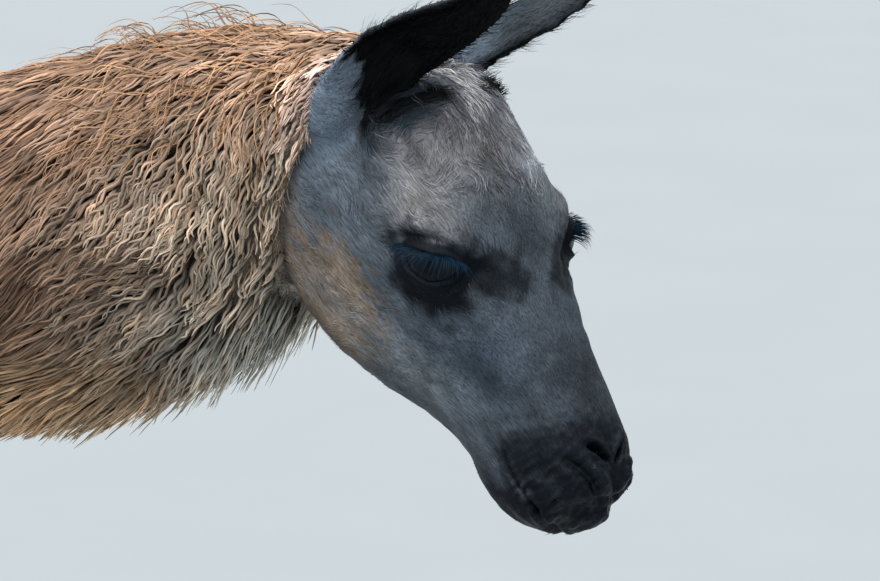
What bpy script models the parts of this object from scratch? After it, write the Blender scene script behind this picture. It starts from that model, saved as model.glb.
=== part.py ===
"""A life-size llama, standing with its neck stretched forward and its head lowered.

Every named object is one closed solid that runs out to the tips of the coat. Metres, +Z up. The animal
faces +X and its right side is towards -Y. Pieces that touch are parted by flat cuts with a thin gap.
"""

import math

import bmesh
import bpy
import numpy as np
from mathutils import Matrix, Vector

GAP = 0.0003

# Sizes along the body are counted from under the withers, which stand this far ahead of the whole's centre.
WITHERS_AHEAD = 0.119

# Trunk outline, by distance ahead of the withers
TRUNK_REAR, TRUNK_FRONT = -0.985, 0.180
TRUNK_TOP = [(-0.985, 1.02), (-0.90, 1.070), (-0.72, 1.100), (-0.40, 1.095), (-0.12, 1.120), (0.05, 1.09),
             (0.18, 1.02)]
TRUNK_BOTTOM = [(-0.985, 0.74), (-0.86, 0.665), (-0.66, 0.600), (-0.36, 0.560), (-0.10, 0.575), (0.05, 0.62),
                (0.18, 0.70)]
TRUNK_HALF_WIDTH = [(-0.985, 0.15), (-0.84, 0.205), (-0.55, 0.240), (-0.25, 0.235), (0.00, 0.190),
                    (0.18, 0.14)]
TRUNK_SQUARENESS = 2.25
END_ROUNDING = 0.17

# Neck: a straight run from the chest up to the poll, thinning as it goes
NECK_BASE = Vector((0.00, 0.0, 0.905))
NECK_LENGTH = 0.700
NECK_RISE = math.radians(15.8)
NECK_HALF_DEPTH = [(-0.06, 0.205), (0.10, 0.182), (0.25, 0.138), (0.40, 0.110), (0.60, 0.106), (0.69, 0.099),
                   (0.78, 0.078)]
NECK_HALF_WIDTH = [(-0.06, 0.150), (0.10, 0.125), (0.25, 0.105), (0.42, 0.092), (0.60, 0.089), (0.78, 0.080)]
NECK_ROOT, NECK_MIDDLE, NECK_END = 0.175, 0.390, 0.780

# Head: its own axes run s forward from the poll, l to its left and d up from the face
HEAD_PITCH = math.radians(40)
HEAD_TURN = math.radians(-15)
POLL_ABOVE_NECK_AXIS = 0.036
HEAD_BACK, MUZZLE_ROUNDS_FROM, MUZZLE_END = -0.035, 0.250, 0.2920
MUZZLE_CENTRE = -0.044
HEAD_TOP = [(-0.035, 0.030), (0.01, 0.056), (0.055, 0.073), (0.095, 0.066), (0.130, 0.048), (0.165, 0.030),
            (0.215, 0.013), (0.26, -0.001), (0.30, -0.018)]
HEAD_BOTTOM = [(-0.035, -0.080), (0.03, -0.100), (0.085, -0.109), (0.13, -0.102), (0.17, -0.090),
               (0.200, -0.087), (0.230, -0.094), (0.255, -0.089), (0.275, -0.076), (0.30, -0.066)]
BROW_HALF_WIDTH = [(-0.035, 0.042), (0.03, 0.052), (0.085, 0.058), (0.125, 0.0625), (0.158, 0.051),
                   (0.200, 0.037), (0.245, 0.031), (0.30, 0.028)]
BROW_HEIGHT = [(-0.035, 0.000), (0.05, 0.014), (0.125, 0.022), (0.165, 0.004), (0.22, -0.008), (0.30, -0.030)]
CHEEK_HALF_WIDTH = [(-0.035, 0.047), (0.04, 0.056), (0.10, 0.055), (0.15, 0.047), (0.20, 0.037),
                    (0.24, 0.035), (0.30, 0.029)]
CHEEK_HEIGHT = [(-0.035, -0.040), (0.10, -0.046), (0.17, -0.040), (0.24, -0.052), (0.30, -0.052)]
JAW_HALF_WIDTH = [(-0.035, 0.034), (0.05, 0.041), (0.11, 0.038), (0.17, 0.028), (0.21, 0.026), (0.25, 0.027),
                  (0.30, 0.018)]
JAW_ABOVE_BOTTOM = 0.018

# The cut behind the ears and the jaw, in the head's own axes
COLLAR_POINT = (0.006, 0.0, -0.020)
COLLAR_TOP_TO_THROAT = (0.060, 0.0, -0.150)

# Eyes
EYE_PLACE = (0.1255, 0.0470, 0.0145)
EYE_RADIUS = 0.0195

# Ears, from a root inside the skull
EAR_ROOT = (0.008, 0.042, -0.006)
EAR_LEAN = (0.29, 0.17, 1.0)
EAR_OPENS = (0.72, 0.70, 0.0)
EAR_LENGTH = 0.192
EAR_INWARD_BEND = 0.030
EAR_CUT = 0.43
EAR_HALF_WIDTH = [(0.0, 0.018), (0.20, 0.024), (0.35, 0.0285), (0.55, 0.0300), (0.80, 0.0190), (0.93, 0.0100),
                  (1.0, 0.003)]
EAR_DEPTH = [(0.0, 0.018), (0.25, 0.026), (0.40, 0.027), (0.60, 0.021), (0.85, 0.010), (1.0, 0.003)]
EAR_WALL = 0.0034

# Legs, by height: where each section's centre lies, and its half sizes
FORE_X = [(0.0, -0.022), (0.06, -0.040), (0.12, -0.052), (0.36, -0.046), (0.50, -0.052), (0.62, -0.055),
          (0.80, -0.05)]
FORE_HALF_LENGTH = [(0.10, 0.034), (0.14, 0.031), (0.22, 0.030), (0.31, 0.034), (0.37, 0.043), (0.45, 0.056),
                    (0.56, 0.082), (0.66, 0.105), (0.80, 0.10)]
FORE_HALF_WIDTH = [(0.10, 0.031), (0.14, 0.027), (0.22, 0.025), (0.31, 0.029), (0.37, 0.037), (0.45, 0.047),
                   (0.56, 0.064), (0.66, 0.072), (0.80, 0.05)]
FORE_TRACK = 0.125
HIND_X = [(0.0, -0.915), (0.06, -0.935), (0.12, -0.948), (0.30, -0.962), (0.41, -0.968), (0.50, -0.925),
          (0.62, -0.868), (0.80, -0.82)]
HIND_HALF_LENGTH = [(0.10, 0.034), (0.14, 0.031), (0.24, 0.030), (0.34, 0.037), (0.41, 0.046), (0.50, 0.070),
                    (0.60, 0.105), (0.70, 0.122), (0.80, 0.10)]
HIND_HALF_WIDTH = [(0.10, 0.031), (0.14, 0.027), (0.24, 0.025), (0.34, 0.030), (0.41, 0.038), (0.50, 0.056),
                   (0.60, 0.076), (0.70, 0.084), (0.80, 0.06)]
HIND_TRACK = 0.120
LEG_TOP, LEG_ANKLE = 0.78, 0.105

# Feet: two toes on one flat sole
FOOT_AHEAD = [(0.0, 0.006), (0.03, 0.004), (0.06, 0.000), (0.105, 0.0)]
FOOT_HALF_LENGTH = [(0.0, 0.046), (0.012, 0.052), (0.03, 0.050), (0.055, 0.041), (0.08, 0.036),
                    (0.105, 0.034)]
FOOT_HALF_WIDTH = [(0.0, 0.037), (0.012, 0.042), (0.03, 0.041), (0.055, 0.036), (0.08, 0.032), (0.105, 0.031)]
TOE_SPREAD = 0.019
TOE_CLEFT = 0.30
NAIL_LENGTH, NAIL_HALF_WIDTH = 0.030, 0.0085

# Tail
TAIL_PATH = [(-0.88, 1.035), (-0.975, 1.030), (-1.040, 0.975), (-1.060, 0.885), (-1.050, 0.785)]
TAIL_HALF_WIDTH = [(0.0, 0.040), (0.30, 0.050), (0.60, 0.062), (0.85, 0.048), (1.0, 0.018)]
TAIL_CUT_X = -0.985


def along(curve, at):
    """The value of a named curve at one place, smooth through its few points."""
    places, values = (np.array(column, float) for column in zip(*curve))
    slopes = np.gradient(values, places)
    at = min(max(at, places[0]), places[-1])
    i = min(int(np.searchsorted(places, at, side="right")) - 1, len(places) - 2)
    step = places[i + 1] - places[i]
    t = (at - places[i]) / step
    start = (1 + 2 * t) * (1 - t) ** 2 * values[i] + t * (1 - t) ** 2 * step * slopes[i]
    end = t * t * (3 - 2 * t) * values[i + 1] + t * t * (t - 1) * step * slopes[i + 1]
    return float(start + end)


def oval(half_width, half_height, count, squareness=2.0):
    """A closed outline as (across, up) pairs; squareness 2 is an ellipse."""
    points = []
    for i in range(count):
        angle = 2 * math.pi * (i + 0.5) / count
        c, s = math.cos(angle), math.sin(angle)
        power = 2 / squareness
        points.append((half_width * math.copysign(abs(c) ** power, c),
                       half_height * math.copysign(abs(s) ** power, s)))
    return points


def through(points, count):
    """A closed outline of count points, smooth through a few (Catmull-Rom)."""
    points = np.array(points, float)
    outline = []
    for i in range(count):
        place = i * len(points) / count
        k = int(place)
        t = place - k
        a, b, c, d = (points[(k + j) % len(points)] for j in (-1, 0, 1, 2))
        outline.append(tuple(0.5 * (2 * b + (c - a) * t + (2 * a - 5 * b + 4 * c - d) * t ** 2
                                    + (3 * b - a - 3 * c + d) * t ** 3)))
    return outline


def loft(rings, tip=None):
    """A closed mesh over rings of Vectors, with flat ends or a point at the far one."""
    mesh = bmesh.new()
    rows = [[mesh.verts.new(p) for p in ring] for ring in rings]
    count = len(rows[0])
    for low, high in zip(rows, rows[1:]):
        for i in range(count):
            mesh.faces.new((low[i], low[(i + 1) % count], high[(i + 1) % count], high[i]))
    mesh.faces.new(rows[0][::-1])
    if tip is None:
        mesh.faces.new(rows[-1])
    else:
        point = mesh.verts.new(tip)
        for i in range(count):
            mesh.faces.new((rows[-1][i], rows[-1][(i + 1) % count], point))
    bmesh.ops.recalc_face_normals(mesh, faces=mesh.faces)
    return mesh


def kept_side(mesh, point, away):
    """A copy of the mesh cut by a plane, without what lies on the away side, and closed again."""
    piece = mesh.copy()
    away = Vector(away).normalized()
    parts = piece.verts[:] + piece.edges[:] + piece.faces[:]
    bmesh.ops.bisect_plane(piece, geom=parts, dist=1e-6, plane_co=Vector(point) - away * GAP / 2,
                           plane_no=away, clear_outer=True)
    open_edges = [edge for edge in piece.edges if edge.is_boundary]
    bmesh.ops.holes_fill(piece, edges=open_edges)
    bmesh.ops.recalc_face_normals(piece, faces=piece.faces)
    return piece


def parted(mesh, point, direction):
    """The two pieces of a mesh on either side of a plane: behind it and ahead of it, a thin gap apart."""
    direction = Vector(direction)
    return kept_side(mesh, point, direction), kept_side(mesh, point, -direction)


def moved(mesh, matrix):
    """A copy of the mesh, placed by a matrix and still facing out."""
    piece = mesh.copy()
    bmesh.ops.transform(piece, matrix=matrix, verts=piece.verts)
    bmesh.ops.recalc_face_normals(piece, faces=piece.faces)
    return piece


def material(name, colour, roughness):
    made = bpy.data.materials.new(name)
    made.diffuse_color = (*colour, 1)
    made.use_nodes = True
    shader = made.node_tree.nodes["Principled BSDF"]
    shader.inputs["Base Color"].default_value = (*colour, 1)
    shader.inputs["Roughness"].default_value = roughness
    shader.inputs["Metallic"].default_value = 0.0
    return made


def add(name, mesh, finish, helper=False):
    """One named object from a mesh, standing with the rest on the body's own zero."""
    data = bpy.data.meshes.new(name)
    mesh.to_mesh(data)
    data.shade_smooth()
    data.set_sharp_from_angle(angle=math.radians(50))
    if finish:
        data.materials.append(finish)
    made = bpy.data.objects.new(name, data)
    made.parent = stand
    bpy.context.scene.collection.objects.link(made)
    if helper:
        made.hide_render = True
        made.display_type = "WIRE"
    return made


def combine(target, others, operation):
    """Joins helper solids to a piece, or cuts them from it."""
    for other in others:
        modifier = target.modifiers.new(other.name, "BOOLEAN")
        modifier.object = other
        modifier.operation = operation
        modifier.solver = "EXACT"


def head_axes():
    """The head's own frame: s along the face, l to its left, d up from the face, from the poll."""
    neck = Vector((math.cos(NECK_RISE), 0, math.sin(NECK_RISE)))
    poll = NECK_BASE + neck * NECK_LENGTH + Vector((0, 0, POLL_ABOVE_NECK_AXIS))
    turn = Matrix.Rotation(HEAD_TURN, 4, "Z") @ Matrix.Rotation(HEAD_PITCH, 4, "Y")
    return Matrix.Translation(poll) @ turn


def trunk_mesh(count=30, stations=18):
    rings = []
    for i in range(stations):
        swing = math.cos(math.pi * i / (stations - 1))
        x = (TRUNK_REAR + TRUNK_FRONT) / 2 - swing * (TRUNK_FRONT - TRUNK_REAR) / 2 * 0.9985
        to_end = min(x - TRUNK_REAR, TRUNK_FRONT - x) / END_ROUNDING
        closing = math.sqrt(1 - (1 - min(to_end, 1)) ** 2)
        top, bottom = along(TRUNK_TOP, x), along(TRUNK_BOTTOM, x)
        middle = (top + bottom) / 2
        half_width, half_depth = along(TRUNK_HALF_WIDTH, x) * closing, (top - bottom) / 2 * closing
        outline = oval(half_width, half_depth, count, TRUNK_SQUARENESS)
        rings.append([Vector((x, across, middle + up)) for across, up in outline])
    return loft(rings)


def neck_mesh(count=26, stations=13):
    forward = Vector((math.cos(NECK_RISE), 0, math.sin(NECK_RISE)))
    upward = Vector((-math.sin(NECK_RISE), 0, math.cos(NECK_RISE)))
    rings = []
    for i in range(stations):
        at = -0.06 + (NECK_END + 0.06) * i / (stations - 1)
        outline = oval(along(NECK_HALF_WIDTH, at), along(NECK_HALF_DEPTH, at), count, 2.1)
        centre = NECK_BASE + forward * at
        rings.append([centre + Vector((0, across, 0)) + upward * up for across, up in outline])
    return loft(rings)


def head_section(s, count):
    """The outline across the head at one place, as (l, d) pairs."""
    top, bottom = along(HEAD_TOP, s), along(HEAD_BOTTOM, s)
    brow, brow_height = along(BROW_HALF_WIDTH, s), along(BROW_HEIGHT, s)
    cheek, cheek_height = along(CHEEK_HALF_WIDTH, s), along(CHEEK_HEIGHT, s)
    jaw = along(JAW_HALF_WIDTH, s)
    crown_height = brow_height + 0.80 * (top - brow_height)
    jaw_height = bottom + JAW_ABOVE_BOTTOM
    left = [(brow * 0.60, crown_height), (brow, brow_height), (cheek, cheek_height), (jaw, jaw_height)]
    right = [(-across, up) for across, up in reversed(left)]
    return through([(0.0, top), *left, (0.0, bottom), *right], count)


def head_mesh(count=30, stations=23, front_stations=7):
    places = [HEAD_BACK + (MUZZLE_ROUNDS_FROM - HEAD_BACK) * i / (stations - 1) for i in range(stations)]
    run = MUZZLE_END - MUZZLE_ROUNDS_FROM
    for i in range(1, front_stations):
        places.append(MUZZLE_ROUNDS_FROM + run * math.sin(math.pi / 2 * i / front_stations))
    rings = []
    for s in places:
        reach = max(0.0, (s - MUZZLE_ROUNDS_FROM) / run)
        closing = math.sqrt(1 - reach ** 2.4)
        rings.append([Vector((s, across * closing, MUZZLE_CENTRE + (up - MUZZLE_CENTRE) * closing))
                      for across, up in head_section(s, count)])
    return loft(rings, tip=(MUZZLE_END, 0, MUZZLE_CENTRE))


def ear_mesh(side, arc=9, stations=12):
    """A leaf with a hollow front, rolled into a tube at its root. side is 1 for the animal's left."""
    lean = Vector((EAR_LEAN[0], side * EAR_LEAN[1], EAR_LEAN[2])).normalized()
    opens = Vector((EAR_OPENS[0], side * EAR_OPENS[1], EAR_OPENS[2]))
    opens = (opens - lean * opens.dot(lean)).normalized()
    across = lean.cross(opens) * side
    root = Vector((EAR_ROOT[0], side * EAR_ROOT[1], EAR_ROOT[2]))
    rings = []
    for i in range(stations):
        t = i / (stations - 1)
        centre = root + lean * EAR_LENGTH * t - Vector((0, side, 0)) * EAR_INWARD_BEND * t ** 3
        half, depth = along(EAR_HALF_WIDTH, t), along(EAR_DEPTH, t)
        hollow = min(1.0, max(0.0, (t - 0.22) / 0.22))
        wall = min(EAR_WALL, half * 0.45)
        ring = []
        for k in range(arc):
            angle = math.pi * k / (arc - 1)
            ring.append(centre + across * half * math.cos(angle) - opens * depth * math.sin(angle))
        inner_depth = (depth - wall) * hollow - depth * 0.55 * (1 - hollow)
        for k in range(1, arc - 1):
            angle = math.pi * (1 - k / (arc - 1))
            inside = across * (half - wall) * math.cos(angle) - opens * inner_depth * math.sin(angle)
            ring.append(centre + inside)
        rings.append(ring)
    return loft(rings)


def ball_mesh(centre, radius, turns=14, bands=10):
    ball = bmesh.new()
    bmesh.ops.create_uvsphere(ball, u_segments=turns, v_segments=bands, radius=radius)
    bmesh.ops.translate(ball, vec=centre, verts=ball.verts)
    return ball


def leg_mesh(centres, half_lengths, half_widths, track, count=14, stations=13):
    rings = []
    for i in range(stations):
        z = LEG_TOP + (LEG_ANKLE - LEG_TOP) * i / (stations - 1)
        outline = oval(along(half_widths, z), along(half_lengths, z), count, 2.1)
        rings.append([Vector((along(centres, z) + ahead, track + across, z)) for across, ahead in outline])
    return loft(rings)


def foot_mesh(centres, track, count=22, stations=6):
    """The pastern and both toes: the outline is notched in front, more so towards the sole."""
    rings = []
    for i in range(stations):
        z = (LEG_ANKLE - GAP) * (1 - i / (stations - 1)) ** 1.15
        low = 1 - z / LEG_ANKLE
        outline = oval(along(FOOT_HALF_WIDTH, z), along(FOOT_HALF_LENGTH, z), count, 2.2 + 0.3 * low)
        ring = []
        for across, ahead in outline:
            in_cleft = math.exp(-((across / 0.008) ** 2)) if ahead > 0 else 0.0
            x = along(centres, z) + along(FOOT_AHEAD, z) + ahead * (1 - TOE_CLEFT * low * in_cleft)
            ring.append(Vector((x, track + across, z)))
        rings.append(ring)
    return loft(rings)


def nail_mesh(tip, track, grow=0.0, count=10, stations=5):
    """A down-curved toenail, blunt at the tip; grow makes the room that its toe leaves for it."""
    rings = []
    for i in range(stations):
        t = i / (stations - 1)
        size = (0.95 - 0.55 * t * t) * NAIL_HALF_WIDTH + grow
        x = tip - NAIL_LENGTH * (1 - t) + (2 * t - 1) * grow
        z = 0.021 - 0.0125 * t ** 1.6
        outline = oval(size, size * 0.86, count)
        rings.append([Vector((x, track + across, z + up)) for across, up in outline])
    return loft(rings)


def tail_mesh(count=14, stations=10):
    points = [Vector((x, 0, z)) for x, z in TAIL_PATH]
    path_x = [(i / (len(points) - 1), p.x) for i, p in enumerate(points)]
    path_z = [(i / (len(points) - 1), p.z) for i, p in enumerate(points)]
    rings = []
    for i in range(stations):
        t = i / (stations - 1)
        here = Vector((along(path_x, t), 0, along(path_z, t)))
        ahead = Vector((along(path_x, min(t + 0.02, 1)), 0, along(path_z, min(t + 0.02, 1))))
        behind = Vector((along(path_x, max(t - 0.02, 0)), 0, along(path_z, max(t - 0.02, 0))))
        run = (ahead - behind).normalized()
        upward = Vector((0, 1, 0)).cross(run)
        half = along(TAIL_HALF_WIDTH, t)
        outline = oval(half, half * 0.85, count)
        rings.append([here + Vector((0, across, 0)) + upward * up for across, up in outline])
    return loft(rings)


def build_head(dark):
    """The head with its ear roots and eye sockets, the ears beyond their roots, and the eyes."""
    place = head_axes()
    collar = place @ Vector(COLLAR_POINT)
    throat = Vector(COLLAR_TOP_TO_THROAT)
    ahead = place.to_3x3() @ Vector((-throat.z, 0, throat.x)).normalized()
    skull = kept_side(moved(head_mesh(), place), collar, -ahead)
    head = add("head", skull, dark)
    for name, side in (("left", 1), ("right", -1)):
        lean = place.to_3x3() @ Vector((EAR_LEAN[0], side * EAR_LEAN[1], EAR_LEAN[2])).normalized()
        root = place @ Vector((EAR_ROOT[0], side * EAR_ROOT[1], EAR_ROOT[2]))
        stub, blade = parted(moved(ear_mesh(side), place), root + lean * EAR_LENGTH * EAR_CUT, lean)
        combine(head, [add("ear_root_" + name, kept_side(stub, collar, -ahead), None, helper=True)], "UNION")
        add("ear_" + name, blade, material("ear hide " + name, (0.06, 0.07, 0.085), 0.8))
        eye = place @ Vector((EYE_PLACE[0], side * EYE_PLACE[1], EYE_PLACE[2]))
        add("eye_" + name, ball_mesh(eye, EYE_RADIUS), material("eye " + name, (0.01, 0.012, 0.02), 0.05))
        socket = add("socket_" + name, ball_mesh(eye, EYE_RADIUS + 1.6 * GAP), None, helper=True)
        combine(head, [socket], "DIFFERENCE")
    return collar, ahead


def build_neck(fleece, collar, ahead):
    """Two lengths of neck; the root of the lower one goes to the trunk."""
    forward = Vector((math.cos(NECK_RISE), 0, math.sin(NECK_RISE)))
    whole = kept_side(neck_mesh(), collar, ahead)
    root, rest = parted(whole, NECK_BASE + forward * NECK_ROOT, forward)
    lower, upper = parted(rest, NECK_BASE + forward * NECK_MIDDLE, forward)
    add("neck_lower", lower, fleece)
    add("neck_upper", upper, fleece)
    return add("neck_root", root, None, helper=True)


def build_leg(name, centres, half_lengths, half_widths, track, joints, wool, dark, horn):
    """One leg: upper leg, shank, foot and two toenails. Returns its top, which goes to the trunk."""
    top_cut, middle_cut = joints
    whole = leg_mesh(centres, half_lengths, half_widths, track)
    top, rest = parted(whole, (0, 0, top_cut), (0, 0, -1))
    upper, shank = parted(rest, (0, 0, middle_cut), (0, 0, -1))
    add(name + "_upper_leg", upper, wool)
    add(name + "_shank", shank, dark)
    foot = add(name + "_foot", foot_mesh(centres, track), dark)
    tip = along(centres, 0.0) + along(FOOT_AHEAD, 0.0) + FOOT_HALF_LENGTH[1][1] + 0.010
    for toe, side in (("outer", 1), ("inner", -1)):
        nail_track = track + math.copysign(TOE_SPREAD, track) * side
        add(f"{name}_nail_{toe}", nail_mesh(tip, nail_track), horn)
        room = add(f"{name}_nail_room_{toe}", nail_mesh(tip, nail_track, grow=1.3 * GAP), None, helper=True)
        combine(foot, [room], "DIFFERENCE")
    return add(name + "_leg_top", top, None, helper=True)


def build_tail(fleece):
    stub, rest = parted(tail_mesh(), (TAIL_CUT_X, 0, 0), (-1, 0, 0))
    add("tail", rest, fleece)
    return add("tail_root", stub, None, helper=True)


for old in list(bpy.data.objects):
    bpy.data.objects.remove(old, do_unlink=True)

stand = bpy.data.objects.new("llama", None)
stand.location.x = WITHERS_AHEAD
bpy.context.scene.collection.objects.link(stand)

brown_fleece = material("brown fleece", (0.32, 0.19, 0.11), 0.95)
trunk_fleece = material("trunk fleece", (0.26, 0.15, 0.09), 0.95)
dark_hair = material("dark grey short hair", (0.055, 0.058, 0.068), 0.8)
leg_wool = material("leg wool", (0.14, 0.09, 0.065), 0.95)
nail_horn = material("nail horn", (0.05, 0.045, 0.04), 0.45)

collar_place, collar_ahead = build_head(dark_hair)
joined = [build_neck(brown_fleece, collar_place, collar_ahead), build_tail(trunk_fleece)]
for side_name, side_sign in (("left", 1), ("right", -1)):
    fore = (FORE_X, FORE_HALF_LENGTH, FORE_HALF_WIDTH, side_sign * FORE_TRACK, (0.575, 0.335))
    hind = (HIND_X, HIND_HALF_LENGTH, HIND_HALF_WIDTH, side_sign * HIND_TRACK, (0.600, 0.375))
    joined.append(build_leg("fore_" + side_name, *fore, leg_wool, dark_hair, nail_horn))
    joined.append(build_leg("hind_" + side_name, *hind, leg_wool, dark_hair, nail_horn))
trunk = add("trunk", trunk_mesh(), trunk_fleece)
combine(trunk, joined, "UNION")
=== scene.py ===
"""The looks of a life-size llama: one skin over the whole body, eyes, nails, fleece and short fur.

Metres, +Z up. The animal faces +X and its right side is towards -Y. Everything on the head is placed in the
head's own axes: s runs forward from the poll, l to the animal's left and u up out of the forehead. Both sides
of the head are alike, so places there are given with l counted outward.
"""

import math
from functools import partial

import bmesh
import bpy
import numpy as np
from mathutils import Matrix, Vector
from mathutils.bvhtree import BVHTree
from mathutils.kdtree import KDTree


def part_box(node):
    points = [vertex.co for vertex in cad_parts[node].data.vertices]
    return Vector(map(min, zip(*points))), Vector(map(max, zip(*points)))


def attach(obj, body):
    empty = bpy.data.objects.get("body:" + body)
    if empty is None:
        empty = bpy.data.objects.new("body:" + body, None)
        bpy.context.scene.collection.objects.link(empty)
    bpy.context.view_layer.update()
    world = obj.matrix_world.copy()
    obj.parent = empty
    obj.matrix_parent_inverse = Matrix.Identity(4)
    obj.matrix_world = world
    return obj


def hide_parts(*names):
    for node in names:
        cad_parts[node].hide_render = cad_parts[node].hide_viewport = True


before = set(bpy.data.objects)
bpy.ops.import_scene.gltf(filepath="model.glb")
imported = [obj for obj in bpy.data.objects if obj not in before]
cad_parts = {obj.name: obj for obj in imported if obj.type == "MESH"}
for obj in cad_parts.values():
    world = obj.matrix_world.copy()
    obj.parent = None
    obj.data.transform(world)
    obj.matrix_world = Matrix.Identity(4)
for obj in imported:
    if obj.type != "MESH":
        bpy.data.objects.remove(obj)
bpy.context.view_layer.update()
MM = 0.001
LOWEST = 1.0 * MM  # no hair and no part of a foot comes nearer the floor
chance = np.random.default_rng(11)
LEGS = [(end, side) for end in ("fore", "hind") for side in ("left", "right")]

# ---------------------------------------------------------------- plain tools


def unit(vectors):
    vectors = np.asarray(vectors, float)
    return vectors / np.maximum(np.linalg.norm(vectors, axis=-1, keepdims=True), 1e-12)


def dot(a, b):
    return (a * b).sum(-1)


def mix(a, b, share):
    return a + (b - a) * share[..., None]


def ease(low, high, value):
    """0 below low, 1 above high, smooth between; high may be the smaller one."""
    t = np.clip((value - low) / (high - low), 0, 1)
    return t * t * (3 - 2 * t)


def blob(distance, width):
    return np.exp(-(distance / width) ** 2)


def away(place, middle, stretch=(1, 1, 1)):
    """Distance from a middle, counted shorter along the axes that are stretched."""
    return np.linalg.norm((place - middle) / np.array(stretch), axis=-1)


def ripple(points, size, seed):
    """Smooth noise between about -1 and 1 whose swells are about `size` across."""
    waves = np.random.default_rng(seed)
    total = np.zeros(points.shape[:-1])
    for _ in range(7):
        heading = unit(waves.normal(size=3))
        pitch = size * waves.uniform(0.7, 1.5)
        total += np.sin(points @ heading * (2 * math.pi / pitch) + waves.uniform(0, 6.28))
    return total / 2.6


def curve_through(places, count):
    """`count` points on one smooth open curve through a few places (Catmull-Rom)."""
    p = np.asarray(places, float)
    p = np.vstack([2 * p[0] - p[1], p, 2 * p[-1] - p[-2]])
    at = np.linspace(0, len(p) - 3 - 1e-9, count)
    i, t = at.astype(int), (at % 1)[:, None]
    a, b, c, d = p[i], p[i + 1], p[i + 2], p[i + 3]
    return 0.5 * (2 * b + (c - a) * t + (2 * a - 5 * b + 4 * c - d) * t**2 + (3 * b - a - 3 * c + d) * t**3)


def from_path(place, path):
    """Distance from a path, and how far along it the nearest place lies, from 0 to 1."""
    best, share = np.full(len(place), 1e9), np.zeros(len(place))
    for number, (a, b) in enumerate(zip(path[:-1], path[1:])):
        run = b - a
        t = np.clip((place - a) @ run / max(run @ run, 1e-12), 0, 1)
        gap = np.linalg.norm(place - a - t[:, None] * run, axis=1)
        closer = gap < best
        best[closer] = gap[closer]
        share[closer] = (number + t[closer]) / (len(path) - 1)
    return best, share


def off_line(place, line, count=12):
    """Distance from a smooth line through a few places."""
    return from_path(place, curve_through(line, count))[0]


def linear(hex_colour):
    """An sRGB hex colour as linear red, green and blue."""
    parts = np.array([int(hex_colour[i:i + 2], 16) for i in (0, 2, 4)]) / 255
    return np.where(parts <= 0.04045, parts / 12.92, ((parts + 0.055) / 1.055) ** 2.4)


def mesh_from(name, points, faces):
    """A smooth-shaded object from points and faces that all have the same number of corners."""
    faces = np.asarray(faces, np.int32)
    mesh = bpy.data.meshes.new(name)
    mesh.vertices.add(len(points))
    mesh.vertices.foreach_set("co", np.asarray(points, np.float32).ravel())
    mesh.loops.add(faces.size)
    mesh.loops.foreach_set("vertex_index", faces.ravel())
    mesh.polygons.add(len(faces))
    mesh.polygons.foreach_set("loop_start", np.arange(0, faces.size, faces.shape[1], dtype=np.int32))
    mesh.update(calc_edges=True)
    mesh.shade_smooth()
    piece = bpy.data.objects.new(name, mesh)
    bpy.context.scene.collection.objects.link(piece)
    return piece


def rows_of(items, key, width, kind=np.float32):
    """One property of all the items of a mesh, a row for each."""
    values = np.empty(len(items) * width, kind)
    items.foreach_get(key, values)
    return values.reshape(-1, width)


def points_of(mesh):
    return rows_of(mesh.vertices, "co", 3).astype(float)


def normals_of(mesh):
    return rows_of(mesh.vertices, "normal", 3).astype(float)


def edges_of(mesh):
    return rows_of(mesh.edges, "vertices", 2, np.int32)


def triangles_of(mesh):
    mesh.calc_loop_triangles()
    return rows_of(mesh.loop_triangles, "vertices", 3, np.int32)


def set_points(mesh, points):
    mesh.vertices.foreach_set("co", np.asarray(points, np.float32).ravel())
    mesh.update()


def store(mesh, name, values):
    """Keeps a colour (four columns) or a vector (three) for each point of a mesh."""
    values = np.asarray(values, np.float32)
    kind, key = ("FLOAT_COLOR", "color") if values.shape[-1] == 4 else ("FLOAT_VECTOR", "vector")
    mesh.attributes.new(name, kind, "POINT").data.foreach_set(key, values.ravel())


def relaxed(points, edges, rounds, strength=0.5):
    """Each point drawn towards the mean of its neighbours; strength may differ from point to point."""
    a, b = edges.T
    count = len(points)
    degree = np.maximum(np.bincount(a, minlength=count) + np.bincount(b, minlength=count), 1)[:, None]
    strength = np.broadcast_to(strength, count)[:, None]
    points = points.copy()
    for _ in range(rounds):
        total = np.stack([np.bincount(a, points[b, k], count) + np.bincount(b, points[a, k], count)
                          for k in range(points.shape[1])], 1)
        points += strength * (total / degree - points)
    return points


def applied(piece):
    """The piece with its modifiers made part of its mesh."""
    graph = bpy.context.evaluated_depsgraph_get()
    mesh = bpy.data.meshes.new_from_object(piece.evaluated_get(graph))
    piece.modifiers.clear()
    piece.data = mesh
    return piece


# ---------------------------------------------------------------- the head's and the neck's own axes

HEAD_PITCH = math.radians(40)
EYE_AHEAD_OF_POLL, EYE_ABOVE_POLL = 0.1255, 0.0145
EYE_RADIUS = 0.0195
NECK_RISE = math.radians(15.8)
NECK_LENGTH, NECK_AXIS_BELOW_POLL = 0.700, 0.036


def middle_of(node):
    low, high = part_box(node)
    return np.array((low + high) / 2)


EYES = {"left": middle_of("eye_left"), "right": middle_of("eye_right")}
LEFTWARD = unit(EYES["left"] - EYES["right"])
FORWARD = np.array([math.cos(HEAD_PITCH) * LEFTWARD[1], -math.cos(HEAD_PITCH) * LEFTWARD[0],
                    -math.sin(HEAD_PITCH)])
UPWARD = np.cross(FORWARD, LEFTWARD)
POLL = (EYES["left"] + EYES["right"]) / 2 - EYE_AHEAD_OF_POLL * FORWARD - EYE_ABOVE_POLL * UPWARD
NECK_AXIS = np.array([math.cos(NECK_RISE), 0, math.sin(NECK_RISE)])
NECK_BASE = POLL - np.array([0, 0, NECK_AXIS_BELOW_POLL]) - NECK_LENGTH * NECK_AXIS

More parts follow.
